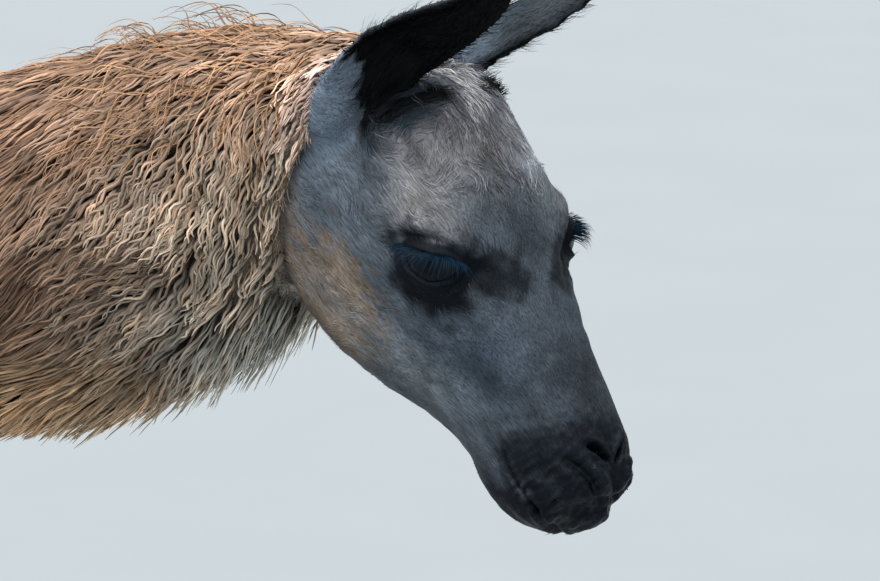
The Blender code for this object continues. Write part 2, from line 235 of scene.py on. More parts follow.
# The border between the short face hair and the neck's fleece is a plane behind the ears and the jaw.
COLLAR_POINT = np.array([0.006, 0, -0.020])
COLLAR_TO_THROAT = np.array([0.060, 0, -0.150])
BORDER = 0.005
COLLAR_FACING = unit(np.cross(COLLAR_TO_THROAT, [0, 1, 0]))


def head_place(points):
    """World points as (s, l, u) in the head's axes."""
    off = points - POLL
    return np.stack([off @ FORWARD, off @ LEFTWARD, off @ UPWARD], -1)


def outward_place(points):
    """World points as (s, l, u) with l counted outward on either side."""
    place = head_place(points)
    place[..., 1] = np.abs(place[..., 1])
    return place


def side_of(place):
    """1 on the animal's left and -1 on its right."""
    return np.where(place[..., 1] >= 0, 1.0, -1.0)


def head_vector(vectors, side=1.0):
    """(s, outward l, u) directions as world directions on that side."""
    vectors = np.asarray(vectors, float)
    return (vectors[..., :1] * FORWARD + vectors[..., 1:2] * LEFTWARD * np.asarray(side)[..., None]
            + vectors[..., 2:] * UPWARD)


def world_of(place, side):
    """(s, outward l, u) places as world points; side is an array of 1 and -1."""
    return (POLL + place[:, :1] * FORWARD + (place[:, 1] * side)[:, None] * LEFTWARD
            + place[:, 2:] * UPWARD)


def ahead_of_collar(place):
    return (place - COLLAR_POINT) @ COLLAR_FACING


def past_border(points):
    """How far ahead of the fleece's edge, which lies further forward beside the roots of the ears."""
    place = outward_place(points)
    beside_ear = ease(-0.015, 0.010, place[..., 2]) * ease(0.048, 0.034, place[..., 2])
    return ahead_of_collar(place) - BORDER - 9 * MM * beside_ear


def along_neck(points):
    return (points - NECK_BASE) @ NECK_AXIS


def above_axis(points):
    """Height over the neck's axis."""
    return (points - NECK_BASE - along_neck(points)[..., None] * NECK_AXIS)[..., 2]


# ---------------------------------------------------------------- where the markings, painted highlights and painted shade lie

EAR_ROOT = np.array([0.008, 0.042, -0.006])
EAR_LEAN = unit([0.29, 0.17, 1.0])
EAR_OPENS = unit([0.72, 0.70, 0.0])
EAR_FORWARD = unit(np.array([1.0, 0, 0]) - EAR_LEAN[0] * EAR_LEAN)

FACE_SLATE = linear("484f56")
FOREHEAD_GREY = linear("726f70")
BROW_TAN = linear("787473")
FAR_BROW_SILVER = linear("a2a6ac")
BETWEEN_EYES_GREY = linear("2c3136")
CHEEK_BROWN = linear("80684d")
CHEEK_EDGE_GREY = linear("656a6e")
FLANK_BLUE = linear("2f3943")
NOSE_TOP_GREY = linear("191b1d")
MUZZLE_BLACK = linear("0a0d12")
MUZZLE_RIDGE_HIGHLIGHT = linear("1d2329")
# painted highlight on the ridges of the muzzle's wrinkles, standing for their sheen
LOWER_LIP_HIGHLIGHT = linear("545c63")
# painted highlight along the roll of the lower lip
LIP_EDGE_GREY = linear("4f565c")
LID_BLACK = linear("05090e")
EAR_BLUE = linear("626e7b")
EAR_RIM_DARK = linear("20282c")
EAR_BLACK = linear("050607")
EAR_HALO = linear("20282e")
EAR_FRONT_DARK = linear("1e272e")
EAR_TUFT_DARK = linear("20292f")
FORELOCK_DARK = linear("404146")
FORELOCK_PALE = linear("7c7b7b")
# dark lash colour, tinted blue as a painted sheen of the sky
LASH_SHEEN_BLUE = linear("0d283b")
FLEECE_TAN = linear("8d7d6d")
FLEECE_GREY = linear("88847b")
FLEECE_RED = linear("5d4637")
FLEECE_ROSE = linear("ac958b")
FLEECE_STRAW = linear("a08365")
STRAY_TAN = linear("8c6c50")
CREST_ORANGE = linear("866a57")
BODY_BROWN = linear("755e4d")
LEG_CHARCOAL = linear("37353a")

# The low front of the ear's opening, from its bottom corner in towards the forehead
EAR_MOUTH = [(0.0425, 0.052, 0.038), (0.037, 0.043, 0.054), (0.045, 0.0395, 0.0605)]
# Dark hair in the hollow in front of the eye
TEAR_TROUGH = [(0.1405, 0.0448, 0.028), (0.1475, 0.036, 0.0278), (0.1545, 0.0275, 0.0285),
               (0.16, 0.0215, 0.029)]
# Paler hair along the edge of the upper lip and the jaw, and a painted highlight along the lower lip
LIP_EDGE = [(0.239, 0.035, -0.0495), (0.2537, 0.0325, -0.053), (0.265, 0.024, -0.059),
            (0.27, 0.017, -0.064)]
CHEEK_EDGE = [(0.075, 0.05, -0.06), (0.12, 0.048, -0.056), (0.168, 0.04, -0.052)]
LOWER_LIP = [(0.19, 0.0385, -0.042), (0.212, 0.037, -0.05), (0.232, 0.0345, -0.058)]


def ear_height(place):
    return (place - EAR_ROOT) @ EAR_LEAN


def off_ear(place):
    """From the ear's own axis to a place, square to the axis."""
    return place - EAR_ROOT - ear_height(place)[..., None] * EAR_LEAN


def off_ear_axis(place):
    return np.linalg.norm(off_ear(place), axis=-1)


def on_ear(place):
    return ease(0.052, 0.078, ear_height(place)) * ease(0.046, 0.036, off_ear_axis(place))


def ahead_of_ear_rim(place):
    """How far a place lies ahead of the front rim of its ear."""
    return off_ear(place) @ EAR_FORWARD - 0.021 - 0.14 * np.maximum(ear_height(place) - 0.08, 0)


def before_ear_mouth(place):
    """Distance from the low front of the ear's opening, counted longer near its bottom corner."""
    gap, inward = from_path(place, curve_through(EAR_MOUTH, 12))
    return gap + 6 * MM * ease(0.5, 0.0, inward)


def ear_bowl(points, normals):
    """1 in the hollow of an ear, 0 on its back, in between on its rim; and where there is an ear at all."""
    place = outward_place(points)
    height = ear_height(place)
    edge = height + 1.05 * (off_ear(place) @ EAR_FORWARD) - 0.0555 + 1.5 * MM * ripple(place, 0.006, 5)
    zone = ease(0.036, 0.046, height) * ease(-0.002, 0.002, edge)
    zone = zone * ease(0.003, -0.003, ahead_of_ear_rim(place)) * ease(0.060, 0.050, off_ear_axis(place))
    outward = head_place(POLL + normals)
    outward[..., 1] *= np.sign(head_place(points)[..., 1])
    return zone * ease(-0.10, 0.20, outward @ EAR_OPENS), zone


def painted(base, layers):
    """Layers of (colour, share) laid over a base one after another."""
    for colour, share in layers:
        base = mix(base, colour, share)
    return base


def cheek_and_brow(points, ahead, small):
    """Slate grey, with a paler brow and forehead, a brown cheek and a shaded edge at the fleece."""
    place = outward_place(points)
    s, u = place[:, 0], place[:, 2]
    cheek = away(place, [0.088, 0.052, -0.060], [1.05, 1.0, 0.9]) + 0.008 * small
    face = painted(np.broadcast_to(FACE_SLATE, points.shape), [
        (FOREHEAD_GREY, 0.85 * ease(0.028, 0.055, u + 0.12 * (0.09 - s)) * ease(0.135, 0.075, s)),
        (BROW_TAN, 0.75 * blob(away(place, [0.092, 0.055, 0.036]), 0.020)),
        (BROW_TAN, 0.55 * blob(away(place, [0.118, 0.055, 0.037]), 0.015)),
        (CHEEK_BROWN, ease(0.055, 0.016, cheek) * (0.88 + 0.10 * small)),
        (CHEEK_BROWN, 0.4 * ease(0.030, 0.006, ahead) * ease(-0.01, -0.05, u)),
    ])
    shaded = (0.5 + 0.25 * ease(-0.04, -0.07, u)) * ease(0.012, 0.0, ahead) * ease(0.02, -0.01, u)
    return face * (1 - shaded)[:, None]


def muzzle_marks(points, swell, small):
    """Layers from the side of the face to the black muzzle."""
    place = outward_place(points)
    s, l, u = place.T
    ragged = (3 * swell + 2 * small + 2 * ripple(points, 0.006, 8)) * MM
    drop = np.clip(u, -0.032, 0)
    folded = ripple(place * [1.5, 1.0, 0.6], 0.0065, 41)
    top_of_nose = ease(0.185, 0.225, s) * ease(0.030, 0.014, l) * ease(-0.012, -0.002, u)
    jaw = blob(off_line(place, CHEEK_EDGE), 0.022) * (1 + 0.2 * small)
    far_brow = away(head_place(points), [0.082, 0.028, 0.058], [1.8, 1.0, 1.3])
    return [
        (NOSE_TOP_GREY, 0.36 * top_of_nose),
        (MUZZLE_BLACK, 0.52 * ease(0.164, 0.212, s + 0.35 * (u - 0.002) + ragged)),
        (MUZZLE_BLACK, ease(0.238, 0.256, s - 0.78 * drop + ragged)),
        # painted highlight: same ripple as sculpt_head's wrinkles, lighter where they are raised
        (MUZZLE_RIDGE_HIGHLIGHT, 0.45 * ease(0.240, 0.256, s - 0.6 * drop) * ease(-0.6, 1.0, folded)),
        (BETWEEN_EYES_GREY, 0.5 * blob(away(place, [0.136, 0.010, 0.045], [1.5, 1.0, 1.0]), 0.019)),
        (CHEEK_EDGE_GREY, np.clip(0.60 * jaw, 0, 1)),
        (FLANK_BLUE, 0.72 * blob(away(place, [0.178, 0.043, -0.008], [1.5, 1.0, 1.0]), 0.028)),
        (FAR_BROW_SILVER, 0.7 * blob(far_brow, 0.018)),
    ]


def lip_and_eye_marks(place, small):
    """Layers: the pale upper lip edge, a painted lower lip highlight, and the black round the eye and in the
    hollow before it.
    """
    eye = away(place, [0.130, 0.060, 0.011], [1.45, 1.0, 0.95]) + 0.003 * small
    lid_edge = EYE_PLACE + eye_direction(curve_through(UPPER_LID, 12)) * (EYE_RADIUS + 3 * MM)
    over_lid, _ = from_path(place, lid_edge)
    trough, along = from_path(place, curve_through(TEAR_TROUGH, 12))
    return [
        # painted highlight along the lower lip
        (LOWER_LIP_HIGHLIGHT, 0.42 * blob(off_line(place, LOWER_LIP) + 1.5 * MM * small, 0.0070)),
        (LIP_EDGE_GREY, 0.6 * blob(off_line(place, LIP_EDGE, 16), 0.9 * MM)),
        (LID_BLACK, 0.97 * ease(0.034, 0.016, eye) * ease(0.043, 0.032, place[:, 2])),
        (LID_BLACK, 0.9 * ease(0.013, 0.004, over_lid + 0.001 * small)),
        (LID_BLACK, (0.98 - 0.16 * along) * ease(0.0195, 0.0055, trough + 0.003 * small)),
    ]


def ear_marks(points, normals, small):
    """Layers for the blue-grey back of the ear, its dark rim, black hollow and dark low front."""
    place = outward_place(points)
    s, u, height = place[:, 0], place[:, 2], ear_height(place)
    base = ease(0.047, 0.034, off_ear_axis(place)) * ease(-0.010, 0.030, height)
    rim = on_ear(place) * ease(0.040, 0.080, height) * ease(0.006, 0.0, ahead_of_ear_rim(place))
    bowl, _ = ear_bowl(points, normals)
    before = before_ear_mouth(place) + 0.003 * small
    halo = ease(0.032, 0.014, before) * ease(0.036, 0.050, u + s / 2)
    return [
        (EAR_BLUE, 0.9 * base * ease(0.045, 0.020, s)),
        (mix(EAR_BLUE, EAR_RIM_DARK, ease(0.060, 0.110, height)), 0.9 * rim),
        (EAR_BLACK, bowl),
        (EAR_HALO, 0.75 * halo * (1 - bowl)),
        (EAR_FRONT_DARK, 0.96 * ease(0.018, 0.008, before) * (1 - bowl)),
    ]


def fleece_colour(points, ahead, swell, small):
    """Tan at the neck's side, greyer under it, red brown further back, and charcoal on the shanks."""
    t, height = along_neck(points), above_axis(points)
    u = head_place(points)[:, 2]
    wool = painted(np.broadcast_to(FLEECE_TAN, points.shape), [
        (FLEECE_GREY, ease(-0.010, -0.085, height + 0.015 * swell)),
        (FLEECE_RED, 0.92 * ease(0.63, 0.52, t + 0.02 * swell - 0.4 * np.minimum(height, 0))),
        (CREST_ORANGE, 0.85 * ease(0.030, 0.085, height + 0.012 * swell) * ease(0.0, 0.10, t)),
        (FLEECE_ROSE, 0.8 * ease(-0.040, -0.006, ahead) * ease(-0.02, 0.02, u)),
        (FLEECE_STRAW, 0.75 * ease(0.60, 0.52, t) * ease(-0.03, -0.07, height)),
    ])
    lighter = 0.25 * ease(-0.04, -0.10, height) + 0.42 * ease(-0.08, -0.01, ahead)
    wool = mix(wool * (1 + lighter)[:, None], BODY_BROWN, ease(0.34, 0.10, t))
    broad = ease(0.4, 0.0, t) * (0.16 * ripple(points, 0.26, 6) + 0.10 * ripple(points, 0.09, 7))
    wool = wool * (1 + 0.16 * swell + 0.10 * small + broad)[:, None]
    return mix(wool, LEG_CHARCOAL, ease(0.47, 0.33, points[:, 2] + 0.02 * swell))


def coat_colour(points, normals):
    """The animal's markings and some painted highlights and shade as linear colour, the same for the skin and
    the coat over it.
    """
    place = outward_place(points)
    ahead = past_border(points) + 4 * MM * ripple(points, 0.030, 3)
    swell, small = ripple(points, 0.045, 1), ripple(points, 0.012, 2)
    face = painted(cheek_and_brow(points, ahead, small), muzzle_marks(points, swell, small))
    face = face * (1 + 0.15 * ripple(place * [0.6, 1, 1], 0.028, 4) + 0.10 * small)[:, None]
    face = painted(face, lip_and_eye_marks(place, small) + ear_marks(points, normals, small))
    wool = fleece_colour(points, ahead, swell, small)
    return np.clip(mix(wool, face, ease(-0.003, 0.003, ahead)), 0.002, 1)


# ---------------------------------------------------------------- the skin

FLESH = ["head", "ear_left", "ear_right", "neck_upper", "neck_lower", "trunk", "tail"]
FLESH += [f"{end}_{side}_{part}" for end, side in LEGS for part in ("upper_leg", "shank", "foot")]
HEAD_CELL, BODY_CELL, FOOT_CELL = 1.8 * MM, 11 * MM, 4.0 * MM


def merged_copy(node):
    """The node's solid as one bmesh with its corners joined."""
    bm = bmesh.new()
    bm.from_mesh(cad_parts[node].data)
    bmesh.ops.remove_doubles(bm, verts=bm.verts, dist=0.01 * MM)
    bmesh.ops.recalc_face_normals(bm, faces=bm.faces)
    return bm


def run_head_into_neck(bm):
    """The cut face behind the ears and the jaw is drawn on inside the neck."""
    bm.normal_update()
    facing = head_vector(COLLAR_FACING[None])[0]
    cap = [f for f in bm.faces if np.dot(f.normal, facing) < -0.995]
    made = bmesh.ops.extrude_face_region(bm, geom=cap)["geom"]
    verts = [g for g in made if isinstance(g, bmesh.types.BMVert)]
    bmesh.ops.delete(bm, geom=cap, context="FACES")
    middle = sum((v.co for v in verts), Vector()) / len(verts)
    for v in verts:
        v.co = middle + (v.co - middle) * 0.76 - Vector(NECK_AXIS) * 0.060
    bmesh.ops.recalc_face_normals(bm, faces=bm.faces)


def shell_of(name, nodes, cell, swell=0.4 * MM, into_neck=False):
    """One closed surface round several solids, in even cells; swell closes the gaps between them."""
    points, faces, first = [], [], 0
    for node in nodes:
        bm = merged_copy(node)
        if into_neck and node == "head":
            run_head_into_neck(bm)
        bm.normal_update()
        bmesh.ops.triangulate(bm, faces=bm.faces)
        bm.verts.index_update()
        points += [v.co + v.normal * swell for v in bm.verts]
        faces += [[first + v.index for v in f.verts] for f in bm.faces]
        first = len(points)
        bm.free()
    piece = mesh_from(name, np.array(points), faces)
    cells = piece.modifiers.new("cells", "REMESH")
    cells.mode = "VOXEL"
    cells.voxel_size = cell
    return applied(piece)


def coat_depth(points):
    """How far the skin lies under the tips of the coat."""
    ahead = ahead_of_collar(outward_place(points))
    z, x = points[:, 2], points[:, 0]
    depth = np.where(z > 0, 0.024, 0.0)
    depth = depth + (0.019 - depth) * ease(0.12, 0.30, along_neck(points))
    depth = depth + (0.016 - depth) * ease(-0.80, -0.90, x) * ease(0.75, 0.85, z)
    depth = depth + (0.005 - depth) * ease(-0.040, 0.0, ahead)
    legs = ease(0.62, 0.34, z)
    return depth * (1 - legs) + 0.006 * legs


MOUTH_SIDE = [(0.227, 0.0352, -0.043), (0.236, 0.0352, -0.0466), (0.2502, 0.0342, -0.0504),
              (0.2637, 0.0316, -0.0518), (0.2707, 0.0213, -0.0595)]
MOUTH_FRONT = [(0.2637, 0.0316, -0.0518), (0.2707, 0.0213, -0.0595), (0.275, 0.01, -0.067),
               (0.276, 0.0, -0.069)]
NOSTRIL = [(0.259, 0.0162, -0.0038), (0.2632, 0.0115, -0.0042), (0.2675, 0.007, -0.0066),
           (0.2712, 0.0034, -0.0112)]


def fold_lines():
    """Creases of the face as (places along it, half width, depth); a negative depth is a ridge."""
    return [
        (NOSTRIL, 1.6 * MM, 9.0 * MM),
        (MOUTH_SIDE, 1.9 * MM, 4.6 * MM),
        (MOUTH_FRONT, 2.2 * MM, 5.5 * MM),
        # crease round the nostril's wing
        ([(0.2542, 0.0295, -0.016), (0.2677, 0.0229, -0.0148), (0.277, 0.0158, -0.0186),
          (0.2828, 0.013, -0.0251)], 2.8 * MM, 4.2 * MM),
        # groove down the middle of the nose and the split upper lip
        ([(0.274, 0.0, -0.01), (0.284, 0.0, -0.02), (0.288, 0.0, -0.033), (0.286, 0.0, -0.048),
          (0.279, 0.0, -0.062)], 1.9 * MM, 2.2 * MM),
        # the upper lip stands back from the nose
        ([(0.287, 0.0, -0.034), (0.285, 0.012, -0.036), (0.278, 0.024, -0.04)], 8 * MM, 5.5 * MM),
        ([(0.287, 0.0, -0.047), (0.284, 0.014, -0.049), (0.275, 0.026, -0.053)], 10 * MM, 3.5 * MM),
        # rim over the nostril
        ([(0.254, 0.015, 0.002), (0.262, 0.0095, -0.0005), (0.27, 0.004, -0.006)], 3 * MM, -1.3 * MM),
        # under the tip of the nose
        ([(0.286, 0.0, -0.027), (0.285, 0.007, -0.0275), (0.2825, 0.015, -0.0265)], 2.8 * MM, 3.0 * MM),
        # folds that run up from the corner of the mouth
        ([(0.2139, 0.0361, -0.0447), (0.2228, 0.0358, -0.0472), (0.2335, 0.0353, -0.0496)],
         2.8 * MM, 2.2 * MM),
        ([(0.21, 0.037, -0.03), (0.22, 0.0359, -0.038), (0.229, 0.0356, -0.043),
          (0.236, 0.0352, -0.0466)], 2.4 * MM, 1.4 * MM),
        ([(0.226, 0.035, -0.033), (0.234, 0.035, -0.038), (0.242, 0.0345, -0.043)], 3.0 * MM, -1.3 * MM),
        # tear trough in front of the eye
        ([(0.144, 0.04, 0.032), (0.15, 0.0345, 0.0305), (0.157, 0.031, 0.0285),
          (0.165, 0.029, 0.023)], 6.0 * MM, 3.2 * MM),
        # brow ridge over the eye and over the trough
        ([(0.098, 0.06, 0.022), (0.11, 0.059, 0.034), (0.124, 0.052, 0.042),
          (0.14, 0.04, 0.04), (0.152, 0.031, 0.037)], 6.5 * MM, -2.8 * MM),
        # crease over the upper lid and its tail behind the eye
        ([(0.096, 0.0612, 0.006), (0.101, 0.0612, 0.014), (0.108, 0.061, 0.023),
          (0.118, 0.058, 0.03), (0.13, 0.051, 0.033), (0.14, 0.043, 0.031)], 2.2 * MM, 2.2 * MM),
        # pouch under the lower lid, and a second fold under it
        ([(0.11, 0.0605, -0.004), (0.123, 0.0605, -0.0075), (0.135, 0.059, -0.0055),
          (0.148, 0.0545, 0.003), (0.158, 0.046, 0.015)], 2.8 * MM, 1.9 * MM),
        ([(0.115, 0.06, -0.013), (0.132, 0.059, -0.012), (0.148, 0.055, -0.004),
          (0.162, 0.044, 0.008)], 3.6 * MM, 1.2 * MM),
        # folds at the front corner of the eye
        ([(0.15, 0.042, 0.024), (0.151, 0.046, 0.016), (0.148, 0.05, 0.009)], 1.6 * MM, 1.6 * MM),
        ([(0.1545, 0.04, 0.023), (0.1555, 0.044, 0.015), (0.1525, 0.049, 0.007)], 1.6 * MM, 1.3 * MM),
        # facial crest ahead of the eye, and the hollow under it
        ([(0.159, 0.0505, -0.004), (0.178, 0.044, -0.007), (0.2, 0.038, -0.01)], 8 * MM, -2.0 * MM),
        ([(0.17, 0.045, -0.025), (0.188, 0.041, -0.025), (0.208, 0.0375, -0.026)], 8 * MM, 2.0 * MM),
        ([(0.178, 0.043, -0.006), (0.185, 0.0418, -0.014), (0.189, 0.0412, -0.022)], 3.2 * MM, 1.2 * MM),
        # hollow of the temple, and the hollow between the eye and the forehead
        ([(0.062, 0.054, 0.02), (0.075, 0.053, 0.033)], 11 * MM, 2.2 * MM),
        ([(0.095, 0.018, 0.064), (0.113, 0.019, 0.056), (0.13, 0.02, 0.044)], 6 * MM, 1.8 * MM),
        # back edge of the jaw
        ([(0.055, 0.052, -0.04), (0.065, 0.05, -0.065), (0.085, 0.044, -0.09)], 7 * MM, 1.6 * MM),
        # bulge of the nostril's wing, pad of the upper lip, roll of the lower lip
        ([(0.269, 0.017, -0.011), (0.2745, 0.0115, -0.0155), (0.279, 0.008, -0.02)], 5.5 * MM, -2.8 * MM),
        ([(0.256, 0.029, -0.033), (0.266, 0.025, -0.042)], 12 * MM, -1.6 * MM),
        ([(0.25, 0.033, -0.06), (0.263, 0.024, -0.068), (0.27, 0.01, -0.074)], 5.5 * MM, -1.8 * MM),
        # rolled edge of the upper lip
        ([(0.24, 0.035, -0.0445), (0.252, 0.0348, -0.0472), (0.264, 0.0322, -0.0485),
          (0.273, 0.0225, -0.056)], 1.8 * MM, -1.1 * MM),
    ]


# The eye's own axes: it looks out and a little ahead, and the opening slants.
EYE_PLACE = np.array([EYE_AHEAD_OF_POLL, np.linalg.norm(EYES["left"] - EYES["right"]) / 2, EYE_ABOVE_POLL])
GAZE = unit([0.169, 0.939, 0.290])
EYE_AHEAD = unit(np.array([0.920, -0.257, 0.296]) - GAZE * dot(np.array([0.920, -0.257, 0.296]), GAZE))
EYE_UP = np.cross(EYE_AHEAD, GAZE)
# Lid edges in degrees round the eyeball: ahead of and above its axis
UPPER_LID = [(-60, -6), (-50, 8), (-27, 17), (0, 23), (28, 28), (50, 28), (70, 17)]
LOWER_LID = [(-60, -6), (-48, -15), (-20, -21), (4, -25), (23, -24.5), (41, -16), (58, -2), (70, 17)]


def eye_angles(place):
    """Degrees ahead and up round the eyeball, and the distance from its middle."""
    off = place - EYE_PLACE
    far = np.linalg.norm(off, axis=-1)
    ahead = np.degrees(np.arctan2(off @ EYE_AHEAD, off @ GAZE))
    up = np.degrees(np.arcsin(np.clip(off @ EYE_UP / np.maximum(far, 1e-9), -1, 1)))
    return np.stack([ahead, up], -1), far


def eye_direction(angles):
    """The (s, l, u) direction that those degrees stand for."""
    ahead, up = np.radians(angles[..., 0]), np.radians(angles[..., 1])
    flat = np.cos(up)
    return ((flat * np.sin(ahead))[..., None] * EYE_AHEAD + (flat * np.cos(ahead))[..., None] * GAZE
            + np.sin(up)[..., None] * EYE_UP)


def lid_outline():
    upper = curve_through(UPPER_LID, 60)
    lower = curve_through(LOWER_LID, 60)[::-1]
    return np.vstack([upper, lower[1:-1]])


def from_outline(angles, outline):
    """Signed distance in degrees from a closed outline, negative inside, and the nearest place on it."""
    ends = np.roll(outline, -1, axis=0)
    best = np.full(len(angles), 1e9)
    nearest = np.zeros_like(angles)
    inside = np.zeros(len(angles), bool)
    for a, b in zip(outline, ends):
        run = b - a
        t = np.clip(((angles - a) @ run) / max(run @ run, 1e-12), 0, 1)
        foot = a + t[:, None] * run
        gap = np.linalg.norm(angles - foot, axis=1)
        closer = gap < best
        best[closer] = gap[closer]
        nearest[closer] = foot[closer]
        crosses = (a[1] > angles[:, 1]) != (b[1] > angles[:, 1])
        rise = b[1] - a[1] if abs(b[1] - a[1]) > 1e-12 else 1e-12
        inside ^= crosses & (angles[:, 0] < (angles[:, 1] - a[1]) / rise * run[0] + a[0])
    return np.where(inside, -best, best), nearest


def refine(bm, near):
    """Halves the cells for which near(points) holds."""
    chosen = near(np.array([v.co for v in bm.verts]))
    bm.verts.ensure_lookup_table()
    edges = [e for e in bm.edges if chosen[e.verts[0].index] and chosen[e.verts[1].index]]
    bmesh.ops.subdivide_edges(bm, edges=edges, cuts=1, use_grid_fill=True)
    bm.verts.index_update()


def toe_share(points):
    """How much a place belongs to the front of a foot, and how far it lies from that foot's middle."""
    share, across = np.zeros(len(points)), np.zeros(len(points))
    for end, side in LEGS:
        low, high = (np.array(corner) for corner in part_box(f"{end}_{side}_foot"))
        middle = (low + high) / 2
        off = np.abs(points - middle)
        here = (off[:, 0] < 0.13) & (off[:, 1] < 0.07) & (points[:, 2] < 0.09)
        front = ease(middle[0], high[0] - 0.025, points[:, 0]) * ease(0.085, 0.040, points[:, 2])
        share[here] = front[here]
        across[here] = off[here, 1]
    return share, across


def part_toes(points, normals):
    """The cleft between the two toes of each foot, and the swell of each toe beside it."""
    share, across = toe_share(points)
    depth = 8 * MM * blob(across, 4.5 * MM) - 2 * MM * blob(across - 17 * MM, 8 * MM)
    points = points - normals * (share * depth)[:, None]
    points[:, 2] = np.maximum(points[:, 2], LOWEST * (points[:, 2] < 0.02))
    return points


def wants_detail(points):
    place = outward_place(points)
    toes, _ = toe_share(points)
    eye = away(place, EYE_PLACE + 0.018 * GAZE) < 0.034
    nostril = away(place, [0.270, 0.012, -0.012]) < 0.022
    mouth = off_line(place, MOUTH_SIDE + MOUTH_FRONT[2:])
    return eye | nostril | (mouth < 0.007) | (place[:, 0] > 0.236) | (toes > 0)


def before_eyeball(place):
    return (place - EYE_PLACE) @ GAZE > -0.004


def sculpt_lids(place, outline):
    """The skin round each eye laid over the eyeball as lids, an upper one half let down."""
    angles, far = eye_angles(place)
    near = far < 0.055
    gap = np.full(len(place), 90.0)
    gap[near], _ = from_outline(angles[near], outline)
    upper = ease(-10, 20, angles[:, 1])
    lid = EYE_RADIUS + 1.5 * MM + 0.9 * MM * blob(gap - 2, 3.5) + 0.6 * MM * upper * blob(gap - 9, 6)
    hold = ease(42, 9, gap) * near * before_eyeball(place)
    new_far = far + (np.where(near, lid, far) - far) * hold
    return EYE_PLACE + (place - EYE_PLACE) * (new_far / np.maximum(far, 1e-9))[:, None]


def narrow_ears(place):
    """The front edge of each ear starts far back and high, close to the ear's own axis."""
    height = ear_height(place)
    ahead = np.maximum(off_ear(place) @ EAR_FORWARD, 0)
    squeeze = 0.66 * ease(0.195, 0.095, height) * ease(0.030, 0.062, height)
    squeeze = squeeze * ease(0.058, 0.048, off_ear_axis(place))
    return place - (ahead * squeeze)[:, None] * EAR_FORWARD


def fold_moves(place, facing, rows):
    """Draws each fold and ridge of the face into the places in turn; rows are the ones on the head."""
    tree = KDTree(len(rows))
    for row in rows:
        tree.insert(place[row], int(row))
    tree.balance()
    for line, width, depth in fold_lines():
        path = np.array([place[tree.find(Vector(p))[1]] for p in curve_through(line, 25)])
        for _ in range(3):
            path[1:-1] = (path[:-2] + 2 * path[1:-1] + path[2:]) / 4
        near = rows[away(place[rows], path.mean(0)) < 0.07]
        gap, share = from_path(place[near], path)
        fade = ease(-0.05, 0.2, np.minimum(share, 1 - share))
        move = depth * fade * (blob(gap, width) - 0.22 * blob(gap - 2.3 * width, width))
        place[near] -= facing[near] * move[:, None]


def sculpt_head(points, normals):
    """The head's folds, lids, nostrils and mouth, alike on both sides."""
    place, side = outward_place(points), side_of(head_place(points))
    place = narrow_ears(place)
    facing = head_place(POLL + normals)
    facing[:, 1] *= side
    on_head = ahead_of_collar(place) > -0.01
    place[on_head] = sculpt_lids(place[on_head], lid_outline())
    fold_moves(place, facing, np.flatnonzero(on_head))
    s, u = place[:, 0], place[:, 2]
    wrinkled = ease(0.232, 0.250, s) * ease(-0.020, -0.032, u) * ease(-0.062, -0.052, u)
    fine = ripple(place * [1.5, 1.0, 0.6], 0.0065, 41) * (0.6 + 0.6 * ripple(place, 0.014, 42))
    place += facing * (0.80 * MM * wrinkled * fine)[:, None]
    hide = (0.35 * ripple(place, 0.016, 43) + 0.12 * ripple(place, 0.007, 44)) * MM
    hide = hide * (1 - 0.6 * ease(0.225, 0.245, place[:, 0]))
    clear_of_eye = ease(0.030, 0.045, away(place, EYE_PLACE))
    place += facing * (hide * on_head * clear_of_eye)[:, None]
    return world_of(place, side)


def open_eyes(bm):
    """Cuts the opening of each eye, draws its edge to the lid line and turns the edge in to the eyeball."""
    outline = lid_outline()
    opening_middle = np.array([5.0, 2.0])
    for side in (1.0, -1.0):
        points = np.array([v.co for v in bm.verts])
        bm.verts.index_update()
        place = head_place(points)
        place[:, 1] *= side
        angles, far = eye_angles(place)
        near = (far < EYE_RADIUS + 8 * MM) & before_eyeball(place)
        gap = np.full(len(points), 90.0)
        foot = angles.copy()
        gap[near], foot[near] = from_outline(angles[near], outline)
        within = gap < 0
        doomed = [f for f in bm.faces if all(within[v.index] for v in f.verts)]
        border = {v for f in bm.faces for v in f.verts
                  if within[v.index] and not all(within[w.index] for w in f.verts)}
        for v in border:
            edge = EYE_PLACE + eye_direction(foot[v.index][None])[0] * (EYE_RADIUS + 1.7 * MM)
            v.co = world_of(edge[None], np.array([side]))[0]
        bmesh.ops.delete(bm, geom=doomed, context="FACES")
        ring = [e for e in bm.edges if e.is_boundary and e.verts[0] in border and e.verts[1] in border]
        for depth, inward in ((0.6 * MM, 1.0), (-0.8 * MM, 2.0)):
            made = bmesh.ops.extrude_edge_only(bm, edges=ring)["geom"]
            ring = [g for g in made if isinstance(g, bmesh.types.BMEdge) and g.is_boundary]
            for v in {v for e in ring for v in e.verts}:
                here = head_place(np.array(v.co)[None])
                here[:, 1] *= side
                turn, _ = eye_angles(here)
                turn = turn + (opening_middle - turn) * inward / 40
                edge = EYE_PLACE + eye_direction(turn) * (EYE_RADIUS + depth)
                v.co = world_of(edge, np.array([side]))[0]


def head_shell():
    """The head and its ears as the CAD has them, smoothed; the eyeballs keep their room."""
    nodes = ["head", "ear_left", "ear_right", "eye_left", "eye_right"]
    head = shell_of("head_shell", nodes, HEAD_CELL, into_neck=True)
    points, edges = points_of(head.data), edges_of(head.data)
    ear = on_ear(outward_place(points))
    set_points(head.data, relaxed(points, edges, 40, 0.5 - 0.46 * ear))
    return head


